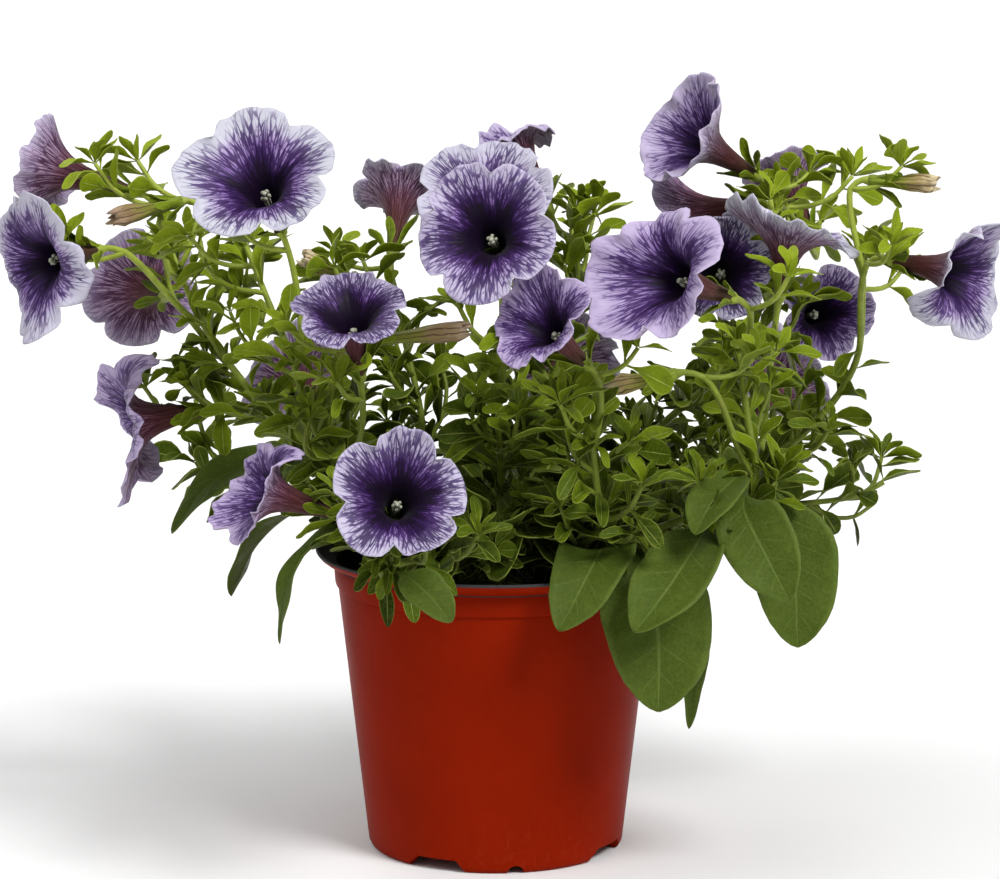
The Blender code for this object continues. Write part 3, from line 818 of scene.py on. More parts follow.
outside += [
    (r * MM, z * MM)
    for r, z in (
        (45.95, 1.5), (45.5, 0.7), (44.9, 0.15), (44.4, 0.0), (43.1, 0.0), (42.8, 0.3), (42.9, 5.6),
        (42.5, 6.0), (20.0, 6.0), (0.0, 6.0),
    )
]
pot = spin_section("nursery_pot", inside + edge + outside, 144)
print("pot skin", len(pot.data.polygons), "faces")

# %% [markdown]
# ## Feet and drain holes
# The ring under the pot is cut into four feet with leaning ends, so that water can run out, and
# each foot has a small round notch. Cutters are shaped from a cube and a cylinder, taken away
# with Boolean modifiers, and thrown away afterwards.


# %% Cut the feet, notches and drains
def cut_with(target, cutter):
    modifier = target.modifiers.new("cut", "BOOLEAN")
    modifier.operation = "DIFFERENCE"
    modifier.solver = "EXACT"
    modifier.object = cutter
    apply_modifiers(target)
    bpy.data.objects.remove(cutter, do_unlink=True)


def foot_gap(turn):
    clear_selection()
    bpy.ops.mesh.primitive_cube_add(size=1.0, location=(0.0, 0.0, 0.0))
    cutter = bpy.context.object
    for corner in cutter.data.vertices:
        outer = corner.co.x > 0
        upper = corner.co.z > 0
        half = math.radians(9.6 if upper else 17.9) * (1 if corner.co.y > 0 else -1)
        radius = 0.060 if outer else 0.034
        corner.co = (radius * math.cos(half), radius * math.sin(half), 4.5 * MM if upper else -2.0 * MM)
    cutter.rotation_euler.z = turn
    settle(cutter)
    return cutter


def rod(radius, length, place, turn=None):
    clear_selection()
    rotation = (0.0, 0.0, 0.0) if turn is None else (0.0, math.pi / 2, turn)
    bpy.ops.mesh.primitive_cylinder_add(
        vertices=32, radius=radius, depth=length, location=place, rotation=rotation
    )
    cutter = bpy.context.object
    settle(cutter)
    return cutter


NOTCH_RADIUS = 3.0 * MM
FOOT_RING = 44.0 * MM
DRAIN_RADIUS = 4.0 * MM
DRAIN_RING = 27.0 * MM
for i in range(4):
    foot = math.radians(-81.0 + 90.0 * i)
    cut_with(pot, foot_gap(foot + math.radians(53.5)))
    spot = (FOOT_RING * math.cos(foot), FOOT_RING * math.sin(foot), 0.0)
    cut_with(pot, rod(NOTCH_RADIUS, 14.0 * MM, spot, foot))
for i in range(6):
    hole = math.radians(30.0 + 60.0 * i)
    spot = (DRAIN_RING * math.cos(hole), DRAIN_RING * math.sin(hole), 7.0 * MM)
    cut_with(pot, rod(DRAIN_RADIUS, 12.0 * MM, spot))
pot.data.materials.clear()
pot.data.materials.append(pot_red)
pot.data.materials.append(pot_grey)


def is_inside(face):
    centre, normal = face.center, face.normal
    if centre.z <= 6.5 * MM:
        return False
    if centre.z < 96 * MM:
        return math.hypot(centre.x, centre.y) < cone(centre.z) - 0.5 * MM
    return normal.x * centre.x + normal.y * centre.y < 0.0 or normal.z > 0.3


for face in pot.data.polygons:
    face.material_index = 1 if is_inside(face) or face.center.z > TOP - 0.9 * MM else 0
pick(pot)
bpy.ops.object.shade_smooth_by_angle(angle=math.radians(32))
hand_over(pot, "pot_plastic", "pot_shell")
print("pot done", len(pot.data.polygons), "faces,", round((pot_high.z - pot_low.z) / MM), "mm tall")

# %% [markdown]
# ## The soil
# The mix is a block that fills the pot. It is spun like the pot, then its top is lifted and
# lowered with noise, and loose crumbs are strewn over it.

# %% Soil block and crumbs
soil_low, soil_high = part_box("potting_soil")
section = [(0.0, 7.8), (20.0, 7.8), (41.0, 7.9), (42.4, 8.3), (44.2, 11.0), (54.6, 95.0)]
section += [(54.0, 96.4), (51.0, 97.0), (48.0, 97.4), (45.0, 97.7)]
section += [(42.0 - 3.0 * k, 97.9 + 0.08 * k) for k in range(14)] + [(0.0, 99.0)]
soil = spin_section("soil_block", [(r * MM, z * MM) for r, z in section], 96)
for point in soil.data.vertices:
    if point.co.z > 96.0 * MM:
        point.co.z += noise.turbulence(point.co * 160.0, 3, False) * 2.4 * MM - 1.6 * MM
crumbs = []
for i in range(220):
    clear_selection()
    size = rng.uniform(0.5, 1.9) * MM
    radius = 51.0 * MM * math.sqrt(rng.random())
    turn = rng.uniform(0, math.tau)
    place = (radius * math.cos(turn), radius * math.sin(turn), (98.6 - radius / MM * 0.03) * MM)
    bpy.ops.mesh.primitive_ico_sphere_add(
        subdivisions=1, radius=size, location=place, rotation=(turn, radius * 90, turn * 2)
    )
    crumb = bpy.context.object
    crumb.scale = (1.0, rng.uniform(0.5, 1.0), rng.uniform(0.35, 0.8))
    crumbs.append(crumb)
soil = joined("soil_block", [soil] + crumbs)
settle(soil)
soil.data.materials.clear()
soil.data.materials.append(soil_mix)
hand_over(soil, "soil", "potting_soil")
print("soil done", len(soil.data.polygons), "faces,", round((soil_high.z - soil_low.z) / MM), "mm deep")

# %% [markdown]
# ## Stems
# A stem is a tapering tube along the centre line that the solid node gave back. A path with a
# round bevel is the quickest way to draw one by hand, and it is turned into a mesh at once.


# %% Draw tubes along a route
def tube_along(name, route, radii, finish, sides=2):
    clear_selection()
    bpy.ops.curve.primitive_nurbs_path_add(location=(0.0, 0.0, 0.0))
    path = bpy.context.object
    path.data.splines.clear()
    spline = path.data.splines.new("POLY")
    spline.points.add(len(route) - 1)
    for point, place, radius in zip(spline.points, route, radii):
        point.co = (*place, 1.0)
        point.radius = radius
    path.data.bevel_depth = 1.0
    path.data.bevel_resolution = sides
    path.data.use_fill_caps = True
    bpy.ops.object.convert(target="MESH")
    piece = bpy.context.object
    piece.name = name
    tidy_skin(piece, 1e-7)
    piece.data.materials.clear()
    piece.data.materials.append(finish)
    bpy.ops.object.shade_smooth()
    return piece


def tone_and_painted_light_at(place):
    # Painted light and shade: high up and at the outside, leaves and stems are painted brighter,
    # as if in full light, with young growth a little paler too; in the crown they are painted darker.
    out = math.hypot(place.x, place.y)
    return max(0.0, min(1.0, 0.22 + (place.z - 0.115) * 4.9 + (out - 0.05) * 1.2))


ROUTES = {}
for node in names_of("stem"):
    rings = rings_of(node, lowest_first=True)
    centres = [middle(ring) for ring in rings[1:-1]]
    widths = [(ring[0] - centre).length for ring, centre in zip(rings[1:-1], centres)]
    route = smooth_route([centres[0] - Vector((0, 0, 2 * MM))] + centres, 3.0 * MM)
    share = np.linspace(0, 1, len(route))
    radii = np.interp(share, [0, 1], [widths[0] * 0.95, widths[-1] * 0.9])
    piece = tube_along(node + "_grown", route, radii, stem_skin)
    tint(piece, "tone_and_painted_light", [tone_and_painted_light_at(v.co) for v in piece.data.vertices])
    ROUTES[node] = route
    hand_over(piece, "stem_green", node)
STEMS = list(ROUTES)
print("stems", {name: len(ROUTES[name]) for name in STEMS})

# %% [markdown]
# ## A leaf to copy
# Small leaves repeat hundreds of times, so one is modelled from a little grid and a few variants
# of it are bent. Each copy gets its own mesh. Sepals are the same leaf made narrow.


# %% Small leaf shapes
# Way along the leaf and share of its full width, from stalk to tip.
SPOON = [
    (0.0, 0.16), (0.13, 0.2), (0.28, 0.4), (0.44, 0.76), (0.6, 0.98), (0.75, 1.0), (0.87, 0.82),
    (0.955, 0.5), (1.0, 0.16),
]
LANCE = [
    (0.0, 0.2), (0.12, 0.32), (0.27, 0.66), (0.42, 0.92), (0.57, 1.0), (0.72, 0.88), (0.86, 0.6),
    (0.955, 0.3), (1.0, 0.08),
]


def map_leaf(shape):
    uv = shape.uv_layers[0] if shape.uv_layers else shape.uv_layers.new()
    uv.name = "leaf"
    for loop in shape.loops:
        co = shape.vertices[loop.vertex_index].co
        uv.data[loop.index].uv = (co.x / 2 + 0.5, co.y / 2 + 0.5)


def small_leaf(name, outline, arch, fold, twist, wavy):
    clear_selection()
    rows = len(outline) - 1
    bpy.ops.mesh.primitive_grid_add(x_subdivisions=2, y_subdivisions=rows, size=2.0, location=(0.0, 0.0, 0.0))
    leaf = bpy.context.object
    leaf.name = name
    map_leaf(leaf.data)
    for point in leaf.data.vertices:
        x = point.co.x
        y, share = outline[round((point.co.y / 2 + 0.5) * rows)]
        half = share * 0.5
        lift = fold * abs(x) * half * math.sin(math.pi * min(1.0, y + 0.1))
        place = Vector((x * half, y, lift - arch * y * y + wavy * math.sin(9 * y) * x))
        point.co = Matrix.Rotation(twist * y, 3, "Y") @ place
    thick = leaf.modifiers.new("thickness", "SOLIDIFY")
    thick.thickness = 0.016
    thick.offset = 0.0
    apply_modifiers(leaf)
    leaf.data.materials.append(leaf_skin)
    bpy.ops.object.shade_smooth_by_angle(angle=math.radians(60))
    leaf.hide_render = True
    return leaf


LEAF_KINDS = [
    small_leaf("leaf_flat", SPOON, 0.05, 0.25, 0.1, 0.01),
    small_leaf("leaf_arched", SPOON, 0.26, 0.3, -0.2, 0.0),
    small_leaf("leaf_raised", LANCE, -0.16, 0.3, 0.25, 0.01),
    small_leaf("leaf_twisted", SPOON, 0.12, 0.2, 0.6, 0.015),
    small_leaf("leaf_cupped", SPOON, 0.1, 0.5, -0.1, 0.0),
    small_leaf("leaf_lance", LANCE, 0.14, 0.35, -0.3, 0.01),
]
SEPAL = small_leaf("sepal", [(y, max(w, 0.55) if y < 0.6 else w) for y, w in SPOON], -0.05, 0.3, 0.15, 0.0)
print("leaf shapes", len(LEAF_KINDS), "with", len(LEAF_KINDS[0].data.polygons), "faces each")

# %% [markdown]
# ## Placing a leaf
# A leaf shape is one unit long and one unit wide, so a single matrix sets where it sits, where it
# points, which side is up, and its size. Every leaf on the plant gets a mesh of its own.

# %% Place one leaf
def leaf_frame(base, direction, face_up, length, width):
    along = direction.normalized()
    across = along.cross(face_up)
    if across.length < 1e-4:
        across = along.cross(Vector((1.0, 0.1, 0.0)))
    across.normalize()
    up = across.cross(along)
    place = Matrix((across * width, along * length, up * length)).transposed().to_4x4()
    place.translation = base
    return place


def put_leaf(kind, base, direction, face_up, length, width, tone_and_painted_light, ribs=5.0):
    leaf = kind.copy()
    leaf.data = kind.data.copy()
    leaf.hide_render = False
    leaf.data.transform(leaf_frame(base, direction, face_up, length, width))
    bpy.context.scene.collection.objects.link(leaf)
    tint(leaf, "tone_and_painted_light", tone_and_painted_light)
    tint(leaf, "ribs", ribs)
    return leaf


# %% [markdown]
# ## Broad leaves
# The lower leaves are as long as a thumb. Each is a fine grid laid over the rings of its solid
# node: the two far points of a ring are the blade's edges, and their lift above the middle tells
# which side is the upper one. Waves along the edge and hollows between the side veins are shaped
# in the mesh, and Solidify gives the blade its thickness.


# %% Grow the broad leaves
def leaf_sections(node):
    sections = []
    rings = rings_of(node)
    for ring in rings[1:-1]:
        far = max(((a, b) for a in ring for b in ring), key=lambda pair: (pair[0] - pair[1]).length)
        rest = [p for p in ring if p not in far]
        sections.append((far[0], middle(rest) if rest else middle(list(far)), far[1]))
    ends = middle(rings[0]), middle(rings[-1])
    fixed = []
    for left, mid, right in sections:
        if fixed and (left - fixed[-1][0]).length > (right - fixed[-1][0]).length:
            left, right = right, left
        fixed.append((left, mid, right))
    return ends, fixed


# Way along the blade and share of its full half width: a short stalk, an egg shape, a drawn-out tip.
OVATE = [
    (0.0, 0.05), (0.07, 0.07), (0.12, 0.16), (0.19, 0.46), (0.27, 0.75), (0.36, 0.93), (0.46, 1.0),
    (0.56, 0.98), (0.66, 0.93), (0.76, 0.82), (0.85, 0.64), (0.92, 0.42), (0.97, 0.2), (1.0, 0.02),
]


def lay_grid(node, cells=(12, 40)):
    (start, tip), sections = leaf_sections(node)
    mids = [start] + [s[1] for s in sections] + [tip]
    halves = [(right - left) / 2 for left, mid, right in sections]
    widest = 1.08 * max(half.length for half in halves)
    sides = [half.normalized() for half in halves]
    folds = [
        ((left + right) / 2 - mid) / max(half.length, 1e-6)
        for (left, mid, right), half in zip(sections, halves)
    ]
    sides = [sides[0]] + sides + [sides[-1]]
    folds = [folds[0]] + folds + [folds[-1]]
    steps = [0.0]
    for a, b in zip(mids, mids[1:]):
        steps.append(steps[-1] + (b - a).length)
    steps = [s / steps[-1] for s in steps]

    def between(points, y):
        k = 0
        while k < len(steps) - 2 and steps[k + 1] < y:
            k += 1
        t = (y - steps[k]) / (steps[k + 1] - steps[k])
        a, b, c = points[max(k - 1, 0)], points[k], points[k + 1]
        d = points[min(k + 2, len(points) - 1)]
        return (b * 2 + (c - a) * t + (a * 2 - b * 5 + c * 4 - d) * t**2 + (b * 3 - a - c * 3 + d) * t**3) / 2

    clear_selection()
    bpy.ops.mesh.primitive_grid_add(
        x_subdivisions=cells[0], y_subdivisions=cells[1], size=2.0, location=(0.0, 0.0, 0.0)
    )
    blade = bpy.context.object
    blade.name = node + "_grown"
    shape = blade.data
    map_leaf(shape)
    length = sum((b - a).length for a, b in zip(mids, mids[1:]))
    seed = sum(ord(letter) for letter in node)
    for point in shape.vertices:
        x = point.co.x
        y = point.co.y / 2 + 0.5
        half = widest * float(np.interp(y, [k for k, w in OVATE], [w for k, w in OVATE]))
        side, fold = between(sides, y).normalized(), between(folds, y)
        heading = between(mids, min(1.0, y + 0.04)) - between(mids, max(0.0, y - 0.04))
        up = side.cross(heading).normalized()
        if fold.dot(up) < 0:
            up = -up
        fold_lift = min(fold.length, 0.5) * up
        place = between(mids, y) + (side * x + fold_lift * (0.4 * abs(x) + 0.6 * x * x)) * half
        ripple = math.sin(y * 13.0 + (2.0 if x < 0 else 0.0) + seed) * abs(x) ** 2 * 0.02 * length
        quilt = -math.cos((y - abs(x) * 0.13) * math.tau * 7) * abs(x) * (1 - abs(x)) * 0.012 * length
        crease = -0.35 * MM * math.exp(-((x / 0.12) ** 2))
        soften = min(1.0, y * 5, (1 - y) * 5)
        point.co = place + up * (ripple + quilt + crease) * soften
    thick = blade.modifiers.new("thickness", "SOLIDIFY")
    thick.thickness = 0.45 * MM
    thick.offset = 0.0
    apply_modifiers(blade)
    blade.data.materials.append(broad_leaf_skin)
    tidy_skin(blade, 1e-7)
    pick(blade)
    bpy.ops.object.shade_smooth()
    return blade


for node in names_of("leaf"):
    blade = lay_grid(node)
    low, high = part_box(node)
    centre = (low + high) / 2
    # Broad leaves at the back are painted darker than those at the front: painted shade.
    tint(blade, "tone_and_painted_light", 0.4 if centre.y < 0 else 0.32)
    tint(blade, "ribs", 7.0)
    hand_over(blade, "leaf_green", node)
    print(node, "midpoint", [round(v, 3) for v in centre])

# %% [markdown]
# ## Flowers
# A petunia flower is one petal tube that flares into five joined lobes. A circle is extruded ring
# by ring into the funnel, then the lobes, the notches between them, the creases and the ruffled
# edge are pushed into the mesh. Solidify turns the sheet into a thin wall with a face material
# inside and a back material outside.


# %% Measure a flower node
def measure_flower(node):
    rings = rings_of(node)
    centres = [middle(ring) for ring in rings]
    sizes = [max((p - c).length for p in ring) for ring, c in zip(rings, centres)]
    rim = max(range(len(rings)), key=lambda k: sizes[k])
    base = 7
    axis = (centres[rim] - centres[base]).normalized()
    far = max(rings[rim], key=lambda p: (p - centres[rim]).length)
    side = far - centres[rim]
    side = (side - axis * side.dot(axis)).normalized()
    return {
        "base": centres[base],
        "axis": axis,
        "side": side,
        "depth": (centres[rim] - centres[base]).length,
        "radius": sizes[rim],
        "stalk": centres[1:base],
        "rings": len(rings),
    }


BLOOMS = {node: measure_flower(node) for node in names_of("flower")}
for node, bloom in BLOOMS.items():
    print(
        node,
        "radius",
        round(bloom["radius"] / MM, 1),
        "depth",
        round(bloom["depth"] / MM, 1),
        "rings",
        bloom["rings"],
    )

# %% [markdown]
# ## The flower in profile
# Each row gives the way from calyx to edge, the share of the full radius, and the height. A narrow
# tube runs for half the length, then flares quickly, which is what makes a petunia a trumpet.

# %% The section of a flower
# Way from calyx to edge, share of the radius, share of the height.
SECTION = [
    (0.0, 0.0, 0.03),
    (0.06, 0.012, 0.1),
    (0.14, 0.03, 0.21),
    (0.22, 0.055, 0.33),
    (0.3, 0.085, 0.45),
    (0.38, 0.125, 0.57),
    (0.45, 0.18, 0.67),
    (0.51, 0.25, 0.75),
    (0.57, 0.33, 0.81),
    (0.63, 0.42, 0.86),
    (0.69, 0.515, 0.9),
    (0.75, 0.615, 0.93),
    (0.81, 0.715, 0.953),
    (0.865, 0.81, 0.972),
    (0.915, 0.89, 0.986),
    (0.96, 0.955, 0.995),
    (1.0, 1.0, 1.0),
]
WAYS = [row[0] for row in SECTION]
HEIGHTS = [row[2] for row in SECTION]

# %% [markdown]
# ## From circle to lobes
# The funnel is extruded ring by ring, mapped, and then pushed into five lobes. Each lobe gets a bend,
# a tilt and a size of its own, so a flower can be flat, cupped or folded over like a real one.

# %% Extrude the funnel
def extrude_funnel(name, radii, heights, segments):
    clear_selection()
    bpy.ops.mesh.primitive_circle_add(
        vertices=segments, radius=radii[0], fill_type="NOTHING", location=(0.0, 0.0, heights[0])
    )
    funnel = bpy.context.object
    funnel.name = name
    bpy.ops.object.mode_set(mode="EDIT")
    bpy.ops.mesh.select_all(action="SELECT")
    for k in range(1, len(radii)):
        grow = radii[k] / radii[k - 1]
        bpy.ops.mesh.extrude_edges_move(
            TRANSFORM_OT_translate={"value": (0.0, 0.0, heights[k] - heights[k - 1])}
        )
        bpy.ops.transform.resize(value=(grow, grow, 1.0), center_override=(0.0, 0.0, heights[k]))
    bpy.ops.object.mode_set(mode="OBJECT")
    settle(funnel)
    return funnel


def mark_petal_map(piece, length, ways, heights):
    # Turn around the flower in X, way from calyx to edge in Y.
    shape = piece.data
    uv = shape.uv_layers.new(name="petal")
    for face in shape.polygons:
        turns = [
            math.atan2(shape.vertices[v].co.y, shape.vertices[v].co.x) / math.tau % 1.0
            for v in face.vertices
        ]
        if max(turns) - min(turns) > 0.5:
            turns = [t + 1.0 if t < 0.5 else t for t in turns]
        for loop, t, v in zip(face.loop_indices, turns, face.vertices):
            uv.data[loop].uv = (t, float(np.interp(shape.vertices[v].co.z / length, heights, ways)))


def shape_lobes(piece, length, radius, style, chance):
    bends = [chance.uniform(*style["bend"]) for _ in range(5)]
    tilts = [chance.uniform(-0.16, 0.16) for _ in range(5)]
    sizes = [chance.uniform(-0.06, 0.05) for _ in range(5)]
    start = chance.uniform(0, 50)
    for point in piece.data.vertices:
        way = float(np.interp(point.co.z / length, HEIGHTS, WAYS))
        turn = math.atan2(point.co.y, point.co.x) % math.tau
        lobe = turn / math.tau * 5
        index = int(lobe) % 5
        across = lobe - int(lobe) - 0.5
        near = (index + (1 if across > 0 else -1)) % 5
        mix = max(0.0, abs(across) * 2 - 0.4) / 1.2
        edge = max(0.0, (way - 0.42) / 0.58)
        notch = math.exp(-(((0.5 - abs(across)) / 0.075) ** 2))
        shorten = 1.0 - edge**3 * (style["notch"] * notch + style["point"] * 4 * across**2 + 0.01)
        around = Vector((math.cos(turn), math.sin(turn), 0.0))
        broad = noise.noise(around * 1.5 + Vector((0, 0, start)))
        ruffle = noise.noise(around * 5.0 + Vector((0, 0, start + edge * 0.8)))
        bend = bends[index] * (1 - mix) + bends[near] * mix
        size = sizes[index] * (1 - mix) + sizes[near] * mix
        reach = shorten * (1.0 + size * edge + (0.05 * broad + 0.02 * ruffle) * edge**2)
        # Lobes bend as they go out, so the far part also moves inwards a little.
        rise = bend * edge**2.2 * (1.0 - 0.8 * across**2) + tilts[index] * across * (1 - notch) * edge**2
        rise += broad * 0.1 * edge**1.5 + style["frill"] * ruffle * edge**2.5
        rise += (
            0.06 * edge**1.5 * notch
            - 0.03 * math.exp(-((across / 0.07) ** 2)) * min(1.0, edge * 3) * (1.0 - 0.4 * edge)
        )
        reach -= min(0.3, bend * bend * edge**3 * 0.5)
        point.co.x *= reach
        point.co.y *= reach
        point.co.z += rise * radius


STYLES = {
    "open": {"bend": (-0.2, 0.1), "notch": 0.13, "point": 0.07, "frill": 0.1},
    "funnel": {"bend": (-0.1, 0.34), "notch": 0.12, "point": 0.05, "frill": 0.12},
    "folded": {"bend": (-0.62, 0.5), "notch": 0.14, "point": 0.09, "frill": 0.14},
    "star": {"bend": (-0.15, 0.2), "notch": 0.22, "point": 0.2, "frill": 0.12},
}
print("flower styles", list(STYLES))

# %% [markdown]
# ## Calyx, stalk and stamens
# Five narrow sepals spread from the foot of each flower, and a thin stalk joins it to its stem.
# Deep in the throat stand the pollen sacs and the pale green tip of the style.


# %% Sepals and stamens
def sepals(base, axis, chance, length, spread):
    made = []
    side = axis.orthogonal().normalized()
    start = chance.uniform(0, math.tau)
    for k in range(5):
        turn = Matrix.Rotation(start + math.tau * k / 5, 3, axis)
        outward = turn @ side
        lean = math.radians(chance.uniform(*spread))
        direction = axis * math.cos(lean) + outward * math.sin(lean)
        size = length * chance.uniform(0.8, 1.2)
        foot = base + outward * 1.5 * MM
        made.append(
            put_leaf(
                SEPAL,
                foot,
                direction,
                outward * -1.0 + axis,
                size,
                size * 0.22,
                0.58 + chance.uniform(-0.14, 0.16),
                3.0,
            )
        )
    return made


def stamens(length, chance):
    # In the flower's own frame, before it is turned into place.
    made = []
    for k in range(6):
        turn = math.tau * k / 5
        out = 0.0 if k == 5 else 1.3 * MM
        tip_height = length * (0.68 if k == 5 else chance.uniform(0.6, 0.66))
        tip = Vector((out * math.cos(turn), out * math.sin(turn), tip_height))
        root = Vector((tip.x * 0.4, tip.y * 0.4, length * 0.25))
        made.append(tube_along("filament", [root, root.lerp(tip, 0.5), tip], [0.22 * MM] * 3, stamen_skin, 0))
        clear_selection()
        bpy.ops.mesh.primitive_ico_sphere_add(
            subdivisions=2, radius=0.8 * MM if k < 5 else 1.0 * MM, location=tip
        )
        sac = bpy.context.object
        sac.scale = (1.0, 0.8, 1.3) if k < 5 else (1.0, 1.0, 0.6)
        settle(sac)
        sac.data.materials.append(stamen_skin)
        bpy.ops.object.shade_smooth()
        made.append(sac)
    return made

# %% [markdown]
# ## One flower after another
# The style says how strongly the lobes fold, and the two numbers set how far the dark colour spreads
# and how white the edge is. The flower stands on the line its solid node gives, with its own stalk.

# %% Grow every flower
LOOKS = {
    # node: style, deep (0 to 1), pale edge (0 to 1)
    "flower_01": ("folded", 0.3, 0.3),
    "flower_02": ("open", 0.25, 1.0),
    "flower_03": ("folded", 0.1, 0.8),
    "flower_04": ("open", 0.5, 0.5),
    "flower_05": ("star", 0.0, 0.6),
    "flower_06": ("open", 0.2, 0.8),
    "flower_07": ("open", 0.55, 0.5),
    "flower_08": ("folded", 0.1, 0.3),
    "flower_09": ("open", 0.85, 0.5),
    "flower_10": ("folded", 0.3, 0.1),
    "flower_11": ("folded", 0.0, 0.15),
    "flower_12": ("funnel", 0.1, 0.3),
    "flower_13": ("folded", 0.0, 1.0),
    "flower_14": ("folded", 0.8, 0.7),
    "flower_15": ("funnel", 0.5, 0.2),
    "flower_16": ("folded", 0.5, 0.3),
    "flower_17": ("folded", 0.15, 0.9),
    "flower_18": ("folded", 0.3, 0.1),
    "flower_19": ("folded", 0.4, 0.1),
    "flower_20": ("folded", 0.65, 0.6),
    "flower_21": ("funnel", 0.5, 0.3),
    "flower_22": ("open", 0.35, 0.6),
    "flower_23": ("open", 0.5, 0.7),
    "flower_24": ("funnel", 0.3, 0.5),
}
NECK = 2.0 * MM


def grow_flower(node, number):
    bloom = BLOOMS[node]
    style, deep, pale = LOOKS[node]
    chance = random.Random(100 + number * 7)
    length, radius = bloom["depth"], bloom["radius"]
    radii = [NECK + (radius * 1.02 - NECK) * share for way, share, height in SECTION]
    petals = extrude_funnel(node + "_petals", radii, [height * length for height in HEIGHTS], 80)
    mark_petal_map(petals, length, WAYS, HEIGHTS)
    shape_lobes(petals, length, radius, STYLES[style], chance)
    wall = petals.modifiers.new("wall", "SOLIDIFY")
    petals.data.materials.append(petal_back)
    petals.data.materials.append(petal_face)
    wall.thickness = 0.35 * MM
    wall.offset = -1.0
    wall.material_offset = 1
    wall.material_offset_rim = 1
    apply_modifiers(petals)
    pick(petals)
    bpy.ops.object.shade_smooth()
    inner = stamens(length, chance)
    across = bloom["axis"].cross(bloom["side"])
    stand = Matrix((bloom["side"], across, bloom["axis"])).transposed().to_4x4()
    # The lobes' middles lie at odd tenths of a turn in the flower's own frame.
    stand = stand @ Matrix.Rotation(-math.pi / 5, 4, "Z")
    stand.translation = bloom["base"]
    for piece in [petals] + inner:
        piece.data.transform(stand)
    stalk_points = bloom["stalk"] + [bloom["base"] - bloom["axis"] * 1.0 * MM]
    toward = (stalk_points[0] - stalk_points[1]).normalized()
    stalk_points.insert(0, stalk_points[0] + toward * 0.9 * MM)
    route = smooth_route(stalk_points, 3.0 * MM)
    ROUTES[node] = list(route)
    route += [bloom["base"] + bloom["axis"] * h * MM for h in (0.5, 2.5, 5.0)]
    radii = [1.15 * MM] * (len(route) - 4) + [1.4 * MM, 2.2 * MM, 2.5 * MM, 2.2 * MM]
    stalk = tube_along(node + "_stalk", route, radii, stem_skin)
    tint(stalk, "tone_and_painted_light", [tone_and_painted_light_at(v.co) for v in stalk.data.vertices])
    leaves = sepals(bloom["base"] + bloom["axis"] * 0.5 * MM, bloom["axis"], chance, 15.0 * MM, (12, 48))
    whole = joined(node + "_grown", [petals, stalk] + inner + leaves)
    tint(whole, "deep", deep)
    tint(whole, "pale", pale)
    tint(whole, "kind", number)
    hand_over(whole, "petal_violet", node)
    return whole


for number, node in enumerate(BLOOMS):
    flower = grow_flower(node, number)
    if number % 8 == 0:
        print(node, len(flower.data.polygons), "faces")

# %% [markdown]
# ## Buds and spent flowers
# A bud is a rolled, ridged tube; a spent flower is the same tube gone limp. The funnel tool makes
# both, closed at the tip, with five ridges wound a little around it.

# %% Grow the buds
WITHER = {
    "bud_centre_left": 0.7, "bud_centre_long": 0.4, "bud_left": 0.3, "bud_right_pale": 1.0,
    "bud_right_top": 0.9,
}
# Share of the length and radius in mm; the last two rings turn back in to form the torn mouth.
BUD_SHAPE = [
    (0.0, 2.1), (0.06, 2.3), (0.2, 2.0), (0.35, 2.0), (0.5, 2.4), (0.62, 2.9), (0.74, 3.3), (0.84, 3.3),
    (0.92, 3.0), (1.0, 2.5), (0.95, 1.7), (0.86, 0.6),
]


def grow_bud(node, number):
    rings = rings_of(node)
    centres = [middle(ring) for ring in rings]
    base, tip = centres[7], centres[-1]
    axis = (tip - base).normalized()
    length = (tip - base).length
    body = extrude_funnel(
        node + "_body", [r * MM for t, r in BUD_SHAPE], [t * length for t, r in BUD_SHAPE], 30
    )
    mark_petal_map(body, length, [0.0, 1.0], [0.0, 1.0])
    for point in body.data.vertices:
        t = point.co.z / length
        turn = math.atan2(point.co.y, point.co.x)
        crumple = noise.noise(point.co * 420 + Vector((number, 0, 0)))
        ridge = 1.0 + 0.14 * math.sin(5 * turn + 3.0 * t + number) * min(1.0, t * 2) + 0.45 * crumple * t * t
        point.co.x *= ridge
        point.co.y *= ridge
        point.co.z += (
            18.0 * noise.noise(Vector((math.cos(turn), math.sin(turn), number)) * 2.4) - 2.0
        ) * MM * max(0.0, t - 0.8)
    pick(body)
    bpy.ops.object.mode_set(mode="EDIT")
    bpy.ops.mesh.select_all(action="SELECT")
    bpy.ops.mesh.region_to_loop()
    bpy.ops.mesh.edge_face_add()
    bpy.ops.object.mode_set(mode="OBJECT")
    body.data.materials.append(bud_skin)
    bpy.ops.object.shade_smooth()
    stand = axis.to_track_quat("Z", "Y").to_matrix().to_4x4()
    stand.translation = base
    body.data.transform(stand)
    stalk_points = centres[1:7] + [base]
    stalk_points.insert(0, stalk_points[0] + (stalk_points[0] - stalk_points[1]).normalized() * 0.9 * MM)
    route = smooth_route(stalk_points, 3.0 * MM)
    ROUTES[node] = list(route)
    route.append(base + axis * 2.0 * MM)
    stalk = tube_along(
        node + "_stalk", route, [1.15 * MM] * (len(route) - 2) + [1.9 * MM, 2.1 * MM], stem_skin
    )
    tint(stalk, "tone_and_painted_light", [tone_and_painted_light_at(v.co) for v in stalk.data.vertices])
    chance = random.Random(number)
    whole = joined(node + "_grown", [body, stalk] + sepals(base, axis, chance, 13.0 * MM, (12, 40)))
    tint(whole, "wither", WITHER[node])
    hand_over(whole, "bud_green", node)


for number, node in enumerate(names_of("bud")):
    grow_bud(node, number)
print("buds", list(WITHER))

# %% [markdown]
# ## Where small leaves may grow
# A leaf must not stand in front of an open flower, cut through the pot, or reach outside the
# plant's size. One test answers all three.


